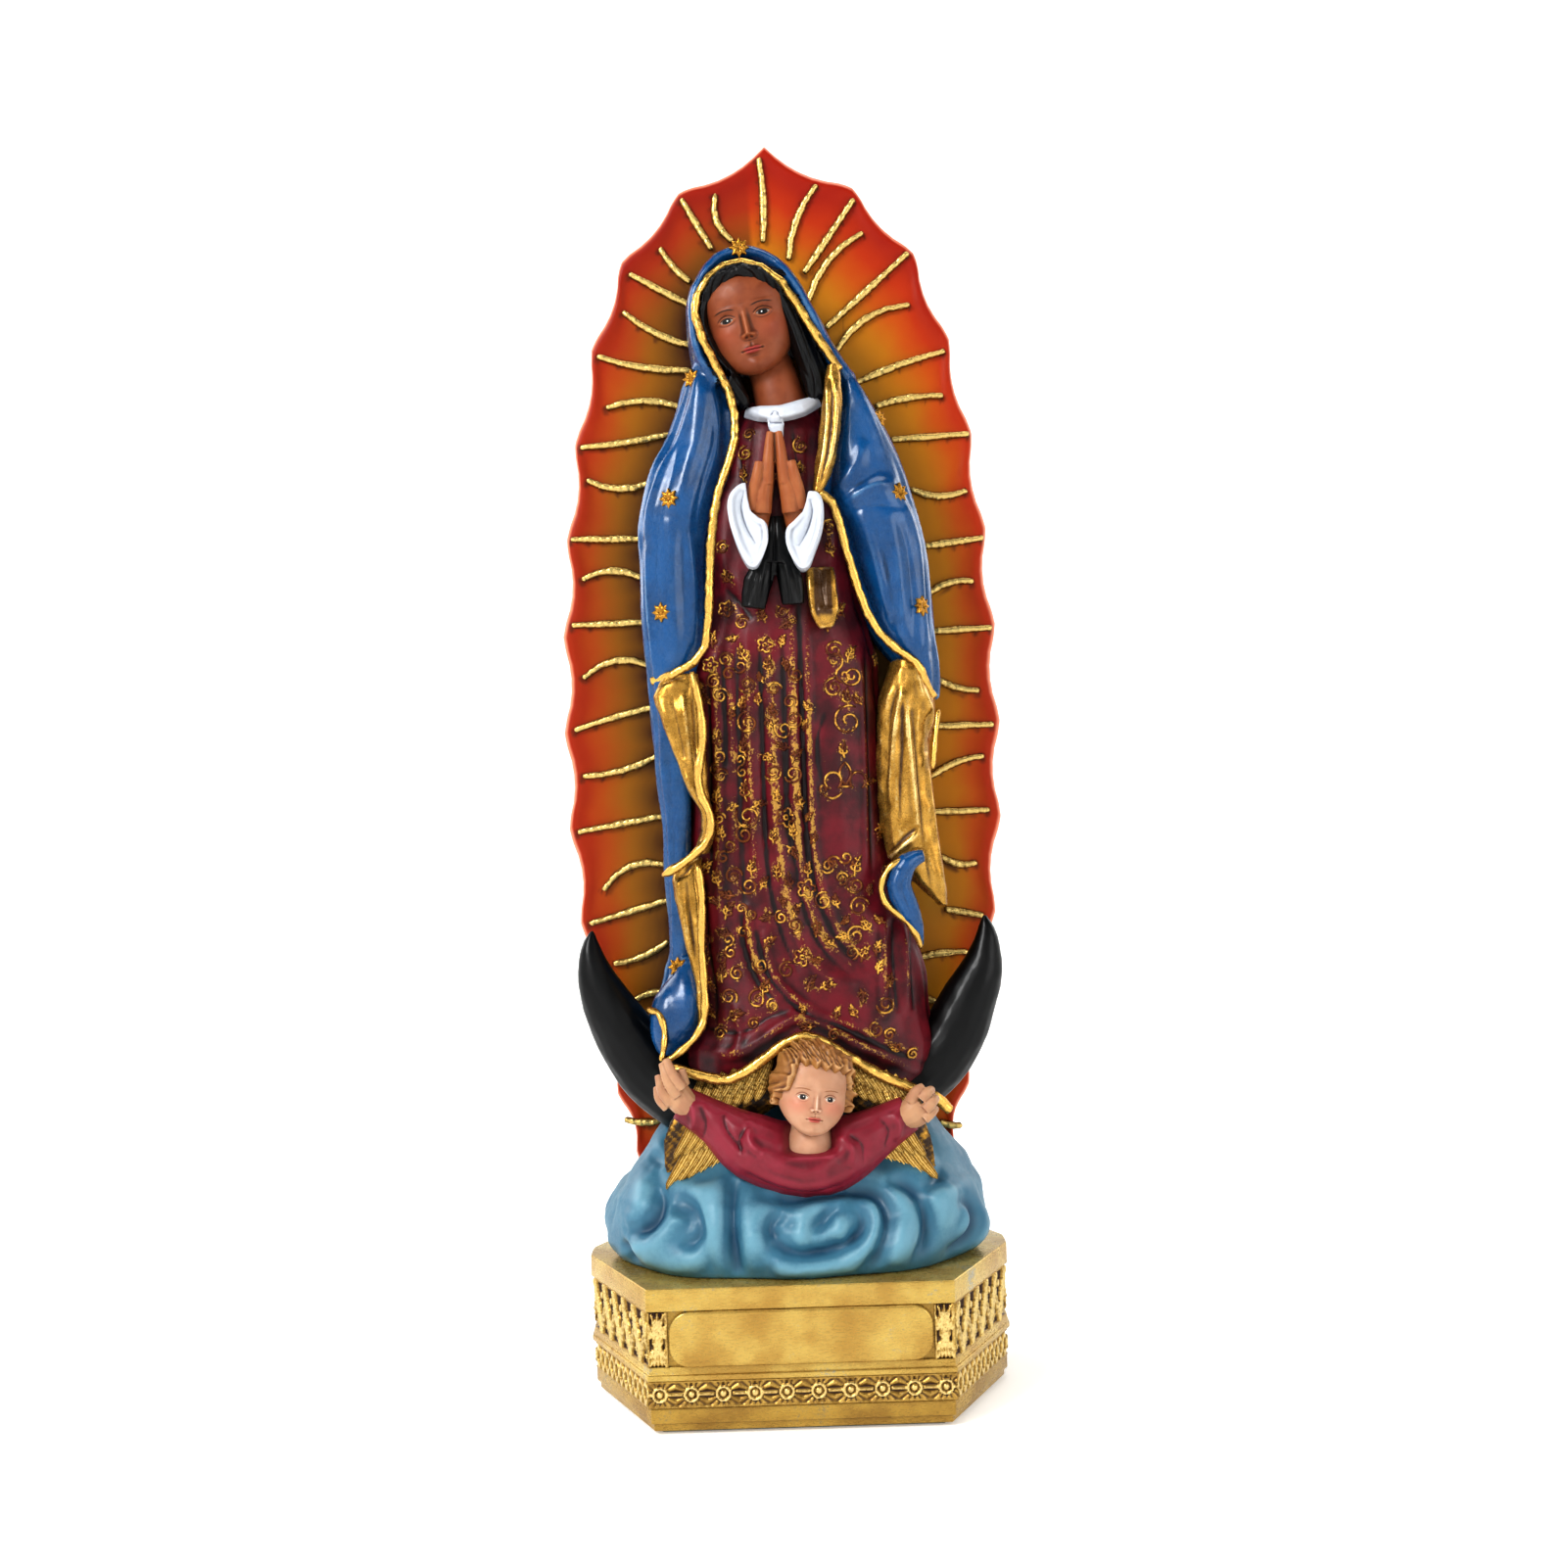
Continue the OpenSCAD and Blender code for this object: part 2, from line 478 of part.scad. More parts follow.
// one row a ray: [inner x, inner z, outer x, outer z, bend], straight ones to the tips
left_rays = [[-1, 276, -1.4, 296.6, -0.6], [-8.6, 276.4, -12.4, 288, 2],
    [-13.8, 274.6, -20.8, 287, 0], [-19.4, 266.6, -26.4, 275, 0.6],
    [-19.6, 260.8, -34.2, 269, 0], [-17.9, 250.4, -36, 259.6, 1.4],
    [-20, 244.6, -42.6, 248.8, 1], [-23, 235.8, -40.8, 236, -1.6],
    [-25.6, 229, -47.4, 226.4, 0.4], [-30.6, 217.2, -46, 218.2, 1.8],
    [-33.6, 203.4, -50.4, 203.8, 0], [-33.6, 193.8, -48, 193.8, -2],
    [-32.8, 182.8, -50.8, 182.6, 0], [-31.6, 171.8, -48.4, 169.6, -3],
    [-30.6, 162, -50.8, 156.8, -0.4], [-30.6, 150, -49.2, 145.4, 1.2],
    [-30, 135, -50.8, 131.8, 0], [-29.6, 123, -45, 117.4, -3],
    [-29.2, 114.4, -48.6, 109.2, 0], [-29.6, 104.2, -43, 99.2, 1],
    [-30.6, 92, -38.6, 90, -0.6], [-33, 60.4, -41.4, 61, 0.6]];
right_rays = [[5.2, 271.4, 12.6, 289.6, 1.6], [9, 268, 21.6, 285.6, 0],
    [9.6, 260.6, 23.6, 277.4, 2.4], [14, 254.2, 34.6, 272, 0],
    [16, 248, 34.6, 259.2, 3], [20.6, 240.2, 42.8, 247.4, 0.6],
    [25.6, 234.4, 42, 236.4, 0.8], [29.2, 226, 48.2, 226.8, 0],
    [33.6, 213.6, 47.2, 212.8, -1.6], [36.4, 199.4, 50.8, 201, 0],
    [37.2, 187.8, 48, 190.4, 1.2], [37.2, 178.4, 52.2, 178.8, 0],
    [37, 167.6, 48.6, 163.4, -1], [36.8, 155, 51.8, 155, 0],
    [35.6, 142.4, 49.2, 147.4, 1], [36.4, 134, 50, 134, 0],
    [38.2, 123, 46.6, 121.2, -1.2], [38.6, 110, 47.8, 108.2, 0],
    [31.4, 98.4, 43.6, 99.4, 0.4], [31.2, 88, 36, 87, 0.6], [35.6, 58, 40.8, 57, -0.4]];

// a tapered ridge on the panel that bends sideways by the given amount
module ray(row) {
    run = [row[2] - row[0], row[3] - row[1]];
    across = [-run[1], run[0]] / norm(run);
    limb([for (t = [0, 0.25, 0.5, 0.75, 1])
        let (off = 4 * row[4] * t * (1 - t), half = ray_w * (0.32 + 0.18 * sin(180 * min(t * 1.2, 1))))
        [row[0] + run[0] * t + across[0] * off, panel_front,
         row[1] + run[1] * t + across[1] * off, half, ray_h]], 6, 1);
}

module sunburst_rays() color("gold") {
    for (row = left_rays)
        ray(row);
    for (row = right_rays)
        ray(row);
}

module panel_dowels() color("silver") for (z = [110, 200])
    translate([0, 17, z + rise])
        rotate([90, 0, 0])
            cylinder(d = dowel_d, h = 12);

felt_pad();
plinth_foot();
plinth_core();
plinth_moulding();
plinth_top();
plinth_beads();
plinth_lattice();
plinth_leaves();
name_plate();
base_dowels();
cloud();
angel_tunic();
angel_head();
angel_hair();
angel_left_hand();
angel_right_hand();
angel_left_wing();
angel_right_wing();
crescent_left_horn();
crescent_right_horn();
gown();
gown_hem_trim();
mantle_left_side();
mantle_right_side();
mantle_hood();
mantle_left_corner();
mantle_right_corner();
mantle_trim();
mantle_stars();
lining_left_upper();
lining_left_lower();
lining_right();
lining_lapel();
sleeve_lining();
madonna_head();
madonna_hair();
collar();
left_cuff();
right_cuff();
praying_hands();
sash_ribbon();
sunburst_panel();
sunburst_rays();
panel_dowels();
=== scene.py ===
import math

import bmesh
import bpy
import numpy as np
from mathutils import Matrix, Vector
from mathutils.bvhtree import BVHTree
from mathutils.kdtree import KDTree


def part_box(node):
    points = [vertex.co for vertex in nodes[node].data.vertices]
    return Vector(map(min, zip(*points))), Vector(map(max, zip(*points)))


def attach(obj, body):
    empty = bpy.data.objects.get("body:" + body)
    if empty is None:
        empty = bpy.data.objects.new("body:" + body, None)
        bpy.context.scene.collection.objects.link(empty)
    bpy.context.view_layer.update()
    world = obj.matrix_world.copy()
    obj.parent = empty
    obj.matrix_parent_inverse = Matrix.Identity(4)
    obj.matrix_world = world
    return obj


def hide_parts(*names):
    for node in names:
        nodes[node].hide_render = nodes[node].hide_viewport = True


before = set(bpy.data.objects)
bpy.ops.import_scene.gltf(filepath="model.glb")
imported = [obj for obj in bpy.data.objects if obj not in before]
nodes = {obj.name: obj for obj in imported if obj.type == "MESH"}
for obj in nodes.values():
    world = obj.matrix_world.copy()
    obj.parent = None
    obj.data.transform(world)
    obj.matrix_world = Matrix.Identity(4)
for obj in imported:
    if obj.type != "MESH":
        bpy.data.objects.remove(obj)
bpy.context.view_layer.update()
mm = 0.001
coarse = 1.0
rng = np.random.default_rng(12)

# tools shared by all the pieces


def alone(obj):  # makes one object the only selected one, and active
    bpy.ops.object.select_all(action="DESELECT")
    obj.select_set(True)
    bpy.context.view_layer.objects.active = obj


def applied(obj, kind, **settings):  # adds a modifier and applies it
    alone(obj)
    modifier = obj.modifiers.new(kind.title(), kind)
    for key, value in settings.items():
        setattr(modifier, key, value)
    bpy.ops.object.modifier_apply(modifier=modifier.name)


def fromData(name, places, faces):  # a mesh object from places in millimetres
    mesh = bpy.data.meshes.new(name)
    mesh.from_pydata((np.asarray(places) * mm).tolist(), [], faces)
    obj = bpy.data.objects.new(name, mesh)
    bpy.context.scene.collection.objects.link(obj)
    return obj


def castOf(name, *nodeNames):  # copies of CAD nodes, joined, with their doubles merged
    obj = fromData(name, np.zeros((0, 3)), [])
    build = bmesh.new()
    for nodeName in nodeNames:
        build.from_mesh(nodes[nodeName].data)
    bmesh.ops.remove_doubles(build, verts=build.verts, dist=0.002 * mm)
    build.to_mesh(obj.data)
    build.free()
    obj.data.materials.clear()
    return obj


def spots(obj):  # the places of its points, in millimetres
    flat = np.empty(len(obj.data.vertices) * 3)
    obj.data.vertices.foreach_get("co", flat)
    return flat.reshape(-1, 3) / mm


def moveTo(obj, places):
    obj.data.vertices.foreach_set("co", (places * mm).ravel())
    obj.data.update()


def facing(obj):  # the normals of its points
    flat = np.empty(len(obj.data.vertices) * 3)
    obj.data.vertex_normals.foreach_get("vector", flat)
    return flat.reshape(-1, 3)


def links(obj):  # the two points of each edge
    flat = np.empty(len(obj.data.edges) * 2, np.int32)
    obj.data.edges.foreach_get("vertices", flat)
    return flat.reshape(-1, 2)


def blurred(values, pairs, rounds, share=0.5):  # each value drawn towards its neighbours' mean
    values = np.array(values, float)
    columns = values.reshape(len(values), -1)
    one, two = pairs[:, 0], pairs[:, 1]
    count = np.bincount(pairs.ravel(), minlength=len(values)).clip(1)
    for turn in range(rounds):
        step = share if np.isscalar(share) else share[turn % len(share)]
        for c in range(columns.shape[1]):
            column = columns[:, c]
            mean = np.bincount(one, column[two], len(column)) + np.bincount(two, column[one], len(column))
            columns[:, c] = column + step * (mean / count - column)
    return columns.reshape(values.shape)


def settle(obj, rounds):  # smooths without shrinking
    moveTo(obj, blurred(spots(obj), links(obj), 2 * rounds, (0.5, -0.52)))


def sculpted(name, nodeNames, voxel, rounds):  # one skin over CAD nodes, ready to be worked
    obj = castOf(name, *nodeNames)
    applied(obj, "REMESH", mode="VOXEL", voxel_size=voxel * coarse * mm)
    settle(obj, rounds)
    obj.data.shade_smooth()
    return obj


def slabFrom(name, outline, front, back, voxel, rounds):  # a padded shape from its outline seen in front
    ring = throughPoints(list(outline) + [outline[0]], 5)[:-1]
    rings = [np.stack([ring[:, 0], np.full(len(ring), y), ring[:, 1]], 1) for y in (front,
            (front + back) / 2, back)]
    obj = fromData(name, *lofted(rings))
    outwards(obj)
    applied(obj, "REMESH", mode="VOXEL", voxel_size=voxel * coarse * mm)
    moveTo(obj, blurred(spots(obj), links(obj), rounds))
    obj.data.shade_smooth()
    return obj


def frontOf(*objs):  # a function that gives the y of the foremost surface at x, z, or None
    bpy.context.view_layer.update()
    graph = bpy.context.evaluated_depsgraph_get()
    skins = [BVHTree.FromObject(obj, graph) for obj in objs]

    def at(x, z):
        hits = [skin.ray_cast(Vector((x * mm, -0.09, z * mm)), Vector((0, 1, 0)))[0] for skin in skins]
        depths = [hit.y / mm for hit in hits if hit is not None]
        return min(depths) if depths else None
    return at


def tucked(obj, cover, gap):  # nothing of it stands in front of what covers it
    places = spots(obj)
    for place in places:
        depth = cover(place[0], place[2])
        if depth is not None and place[1] < depth + gap:
            place[1] = depth + gap
    moveTo(obj, places)


def sheltered(obj, cover, gap, reach=3):  # nothing of it comes out through the sides or top of its cover
    bpy.context.view_layer.update()
    skin = BVHTree.FromObject(cover, bpy.context.evaluated_depsgraph_get())
    places = spots(obj)
    for place in places:
        for way in (Vector((1, 0, 0)), Vector((-1, 0, 0)), Vector((0, 0, 1))):
            hit, _, _, run = skin.ray_cast(Vector(place) * mm + way * 60 * mm, -way)
            if hit is not None and 60 - gap < run / mm < 60 + reach:
                place[:] = np.array(hit - way * gap * mm) / mm
    moveTo(obj, places)


def note(obj, name, values):  # a number on each point, for its material
    layer = obj.data.attributes.get(name) or obj.data.attributes.new(name, "FLOAT", "POINT")
    layer.data.foreach_set("value", np.asarray(values, np.float32))


def noteRelief(obj, reach=10, full=0.16):  # raised parts towards 1, hollows towards -1
    pairs = links(obj)
    places = spots(obj)
    height = ((places - blurred(places, pairs, reach)) * facing(obj)).sum(1)
    height -= blurred(height, pairs, reach * 4)
    note(obj, "relief", np.clip(blurred(height, pairs, 1) / full, -1, 1))


def noteFront(obj, low=0.25, high=0.8):  # the top of a cord towards 1, its flanks towards -1
    # the finishes paint highlight on the front and shade on the flanks from this
    front = -facing(obj)[:, 1]
    note(obj, "relief", np.clip(2 * (front - low) / (high - low) - 1, -1, 1))


def ripple(places, size, seed=0):  # soft uneven swell between about -1 and 1
    turn = np.random.default_rng(seed)
    total = np.zeros(len(places))
    for octave in range(6):
        way = turn.normal(size=3)
        way *= 2 * math.pi / (size * (0.6 + 0.25 * octave)) / np.linalg.norm(way)
        total += np.sin(places @ way + turn.uniform(0, 6.3))
    return total / 2.6


def throughPoints(points, steps=6):  # a smooth curve through points
    p = np.array(points, float)
    p = np.vstack([2 * p[0] - p[1], p, 2 * p[-1] - p[-2]])
    rows = []
    for i in range(1, len(p) - 2):
        for t in np.arange(steps) / steps:
            a, b, c, d = p[i - 1:i + 3]
            rows.append(b + 0.5 * ((c - a) * t + (2 * a - 5 * b + 4 * c - d) * t * t
                                   + (3 * b - a - 3 * c + d) * t ** 3))
    return np.array(rows + [p[-2]])


def awayFrom(flat, path, reach):  # gap to a path, how far along it, and the side of it
    gap, along, side = np.full(len(flat), 1e3), np.zeros(len(flat)), np.ones(len(flat))
    near = np.flatnonzero(((flat > path.min(0) - reach) & (flat < path.max(0) + reach)).all(1))
    runs = np.diff(path, axis=0)
    lengths = np.hypot(runs[:, 0], runs[:, 1])
    starts = np.concatenate([[0], np.cumsum(lengths)])
    for i, run in enumerate(runs):
        off = flat[near] - path[i]
        t = np.clip(off @ run / (run @ run), 0, 1)
        rest = off - t[:, None] * run
        size = np.hypot(rest[:, 0], rest[:, 1])
        closer = size < gap[near]
        chosen = near[closer]
        gap[chosen] = size[closer]
        along[chosen] = (starts[i] + t[closer] * lengths[i]) / starts[-1]
        side[chosen] = np.sign(run[0] * rest[closer, 1] - run[1] * rest[closer, 0])
    return gap, along, side


def folded(flat, strokes):  # the height of all strokes of (height, width, points); a crease is below 0
    total = np.zeros(len(flat))
    for height, width, points in strokes:
        gap, along, _ = awayFrom(flat, throughPoints(points), 5 * width)
        fade = np.sqrt(np.clip(np.sin(math.pi * along), 0, 1))
        total += height * fade * np.exp(-(gap / width) ** 2 if height > 0 else -gap / width)
    return total


def eased(low, high, values):  # 0 below low, 1 above high, and smooth between
    t = np.clip((values - low) / (high - low), 0, 1)
    return t * t * (3 - 2 * t)


def pressFolds(obj, strokes, amount=1.0):  # folds on the parts that face forwards
    places, out = spots(obj), facing(obj)
    front = eased(-0.1, 0.5, -out[:, 1])
    lift = folded(places[:, [0, 2]], strokes) * amount * front
    moveTo(obj, places + out * lift[:, None])


def lofted(rings, capped=True):  # places and faces of a skin over rings of equal length
    count = len(rings[0])
    places = np.concatenate(rings)
    faces = []
    for i in range(len(rings) - 1):
        for j in range(count):
            a, b = i * count + j, i * count + (j + 1) % count
            faces.append((a, b, b + count, a + count))
    if capped:
        faces.append(tuple(range(count - 1, -1, -1)))
        faces.append(tuple(range(len(places) - count, len(places))))
    return places, faces


def cords(name, runs, sides=6):  # closed cords along runs of (points, radii, the way that is up)
    allPlaces, allFaces, relief = [], [], []
    turns = 2 * math.pi * np.arange(sides) / sides
    for points, radii, up in runs:
        ahead = np.gradient(points, axis=0)
        ahead /= np.linalg.norm(ahead, axis=1)[:, None] + 1e-9
        over = up - (up * ahead).sum(1)[:, None] * ahead
        over /= np.linalg.norm(over, axis=1)[:, None] + 1e-9
        across = np.cross(over, ahead)
        rings = [p + r * (np.outer(np.cos(turns), o) + np.outer(np.sin(turns), a))
                 for p, r, o, a in zip(points, radii, over, across)]
        places, faces = lofted(rings)
        start = sum(len(part) for part in allPlaces)
        allFaces += [tuple(k + start for k in face) for face in faces]
        allPlaces.append(places)
        relief.append(np.tile(np.cos(turns), len(rings)))
    obj = fromData(name, np.concatenate(allPlaces), allFaces)
    outwards(obj)
    note(obj, "relief", np.concatenate(relief))
    obj.data.shade_smooth()
    return obj


def outwards(obj):  # all faces pointing out
    build = bmesh.new()
    build.from_mesh(obj.data)
    bmesh.ops.recalc_face_normals(build, faces=build.faces)
    build.to_mesh(obj.data)
    build.free()


def joined(name, parts):  # several objects made one
    alone(parts[0])
    for part in parts:
        part.select_set(True)
    bpy.ops.object.join()
    parts[0].name = name
    return parts[0]


def show(piece, slotName, material, *stoodFor):  # a finished piece takes its place on the object
    piece.data.materials.clear()
    piece.data.materials.append(material)
    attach(piece, "root")
    if stoodFor:
        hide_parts(*stoodFor)


# materials


def tone(code):  # an sRGB hex colour as linear light
    parts = [int(code[i:i + 2], 16) / 255 for i in (0, 2, 4)]
    return [c / 12.92 if c < 0.04045 else ((c + 0.055) / 1.055) ** 2.4 for c in parts] + [1]


usual = {"MapRange": {"interpolation_type": "SMOOTHSTEP"}, "Mix": {"data_type": "RGBA"}}  # kept unless said
usualOut = {"Mix": 2, "TexCoord": "Object"}  # the output wanted of these; of others the first


def add(tree, kind, inputs=None, stops=None, out=None, **settings):  # a node, set and linked; gives an output
    made = tree.nodes.new("ShaderNode" + kind)
    for key, value in {**usual.get(kind, {}), **settings}.items():
        setattr(made, key, value)
    if stops:
        ramp = made.color_ramp.elements
        ramp[0].position, ramp[0].color = stops[0]
        ramp[1].position, ramp[1].color = stops[-1]
        for at, colour in stops[1:-1]:
            ramp.new(at).color = colour
    for key, value in (inputs or {}).items():
        if isinstance(value, bpy.types.NodeSocket):
            tree.links.new(value, made.inputs[key])
        else:
            made.inputs[key].default_value = value
    return made.outputs[usualOut.get(kind, 0) if out is None else out] if made.outputs else None


def newMaterial(name, **shader):  # an empty material with its shader
    material = bpy.data.materials.new(name)
    material.use_nodes = True
    tree = material.node_tree
    tree.nodes.clear()
    surface = add(tree, "BsdfPrincipled", shader).node
    add(tree, "OutputMaterial", {"Surface": surface.outputs[0]})
    return material, tree, surface


def castFinish(name, look):
    # hand-painted cast resin: a base coat with brush blotches, a thin dark wash that stays in the
    # hollows and is also painted shade there, a dry brush on the raised parts that is also a painted
    # highlight, and a clear coat
    material, tree, surface = newMaterial(name, **{"Coat Weight": look.get("coat", 0.0),
                                                   "Specular IOR Level": look.get("specular", 0.4),
                                                   "Coat Roughness": look.get("coatRough", 0.25)})
    here = add(tree, "TexCoord")
    relief = add(tree, "Attribute", attribute_name="relief", out="Fac")
    blotch = add(tree, "TexNoise", {"Vector": here, "Scale": 1 / (look.get("blotch", 6) * mm),
                                    "Detail": 4.0, "Roughness": 0.6})
    grain = add(tree, "TexNoise", {"Vector": here, "Scale": 1 / (look.get("grain", 0.6) * mm),
                                   "Detail": 3.0, "Roughness": 0.65})
    uneven = add(tree, "MapRange", {0: blotch, 1: 0.35, 2: 0.68})
    colour = add(tree, "Mix", {0: uneven, 6: tone(look["base"]),
                               7: tone(look.get("second", look["base"]))})
    shift = add(tree, "Math", {0: blotch, 1: 0.5}, operation="SUBTRACT")
    shift = add(tree, "Math", {0: shift, 1: 0.9}, operation="MULTIPLY")
    washShadeDepth = add(tree, "Math", {0: relief, 1: shift}, operation="ADD")
    low, high = look.get("washShadeRange", (-0.75, 0.0))
    hollow = add(tree, "MapRange", {0: washShadeDepth, 1: low, 2: high, 3: look.get("washShadeShare", 0.9), 4: 0})
    # painted shade in the hollows, laid as a dark wash
    colour = add(tree, "Mix", {0: hollow, 6: colour, 7: tone(look["washShade"])})
    broken = add(tree, "Math", {0: grain, 1: 0.5}, operation="SUBTRACT")
    broken = add(tree, "Math", {0: broken, 1: look.get("rubHighlightBreak", 1.2)}, operation="MULTIPLY")
    rubAndHighlight = add(tree, "Math", {0: relief, 1: broken}, operation="ADD")
    if "rubNote" in look:  # the dry brush also reaches where this number is high
        near = add(tree, "Attribute", attribute_name=look["rubNote"], out="Fac")
        patchy = add(tree, "TexNoise", {"Vector": here, "Scale": 1 / (2.6 * mm), "Detail": 3.0})
        patchy = add(tree, "MapRange", {0: patchy, 1: 0.38, 2: 0.62, 3: 0.15, 4: 1.25})
        near = add(tree, "Math", {0: near, 1: patchy}, operation="MULTIPLY")
        near = add(tree, "Math", {0: near, 1: look["rubReach"]}, operation="MULTIPLY")
        rubAndHighlight = add(tree, "Math", {0: rubAndHighlight, 1: near}, operation="ADD")
    if "rubPatch" in look:  # worn away in patches of this size
        worn = add(tree, "TexNoise", {"Vector": here, "Scale": 1 / (look["rubPatch"] * mm),
                                      "Detail": 3.0})
        worn = add(tree, "MapRange", {0: worn, 1: 0.42, 2: 0.58, 3: -0.75, 4: 0.1})
        rubAndHighlight = add(tree, "Math", {0: rubAndHighlight, 1: worn}, operation="ADD")
    low, high = look.get("rubHighlightRange", (0.25, 0.75))
    raised = add(tree, "MapRange", {0: rubAndHighlight, 1: low, 2: high, 4: look.get("rubHighlightShare", 0.8)})
    # painted highlight on the raised parts, laid as a dry brush
    colour = add(tree, "Mix", {0: raised, 6: colour, 7: tone(look["rubHighlight"])})
    metal, rubMetal = look.get("metal", 0), look.get("rubMetal", look.get("metal", 0))
    if metal or rubMetal:
        dulled = add(tree, "MapRange", {0: hollow, 1: 0.0, 2: 1.0, 3: metal, 4: metal * 0.2},
                     interpolation_type="LINEAR")
        shine = add(tree, "Mix", {0: raised, 2: dulled, 3: rubMetal}, data_type="FLOAT", out=0)
        tree.links.new(shine, surface.inputs["Metallic"])
    smooth, rough = look.get("rough", (0.35, 0.5))
    tree.links.new(colour, surface.inputs["Base Color"])
    tree.links.new(add(tree, "MapRange", {0: grain, 1: 0.3, 2: 0.7, 3: smooth, 4: rough}),
                   surface.inputs["Roughness"])
    bump = add(tree, "Bump", {"Height": grain, "Distance": look.get("bump", 0.03) * mm, "Strength": 0.7})
    tree.links.new(bump, surface.inputs["Normal"])
    return material


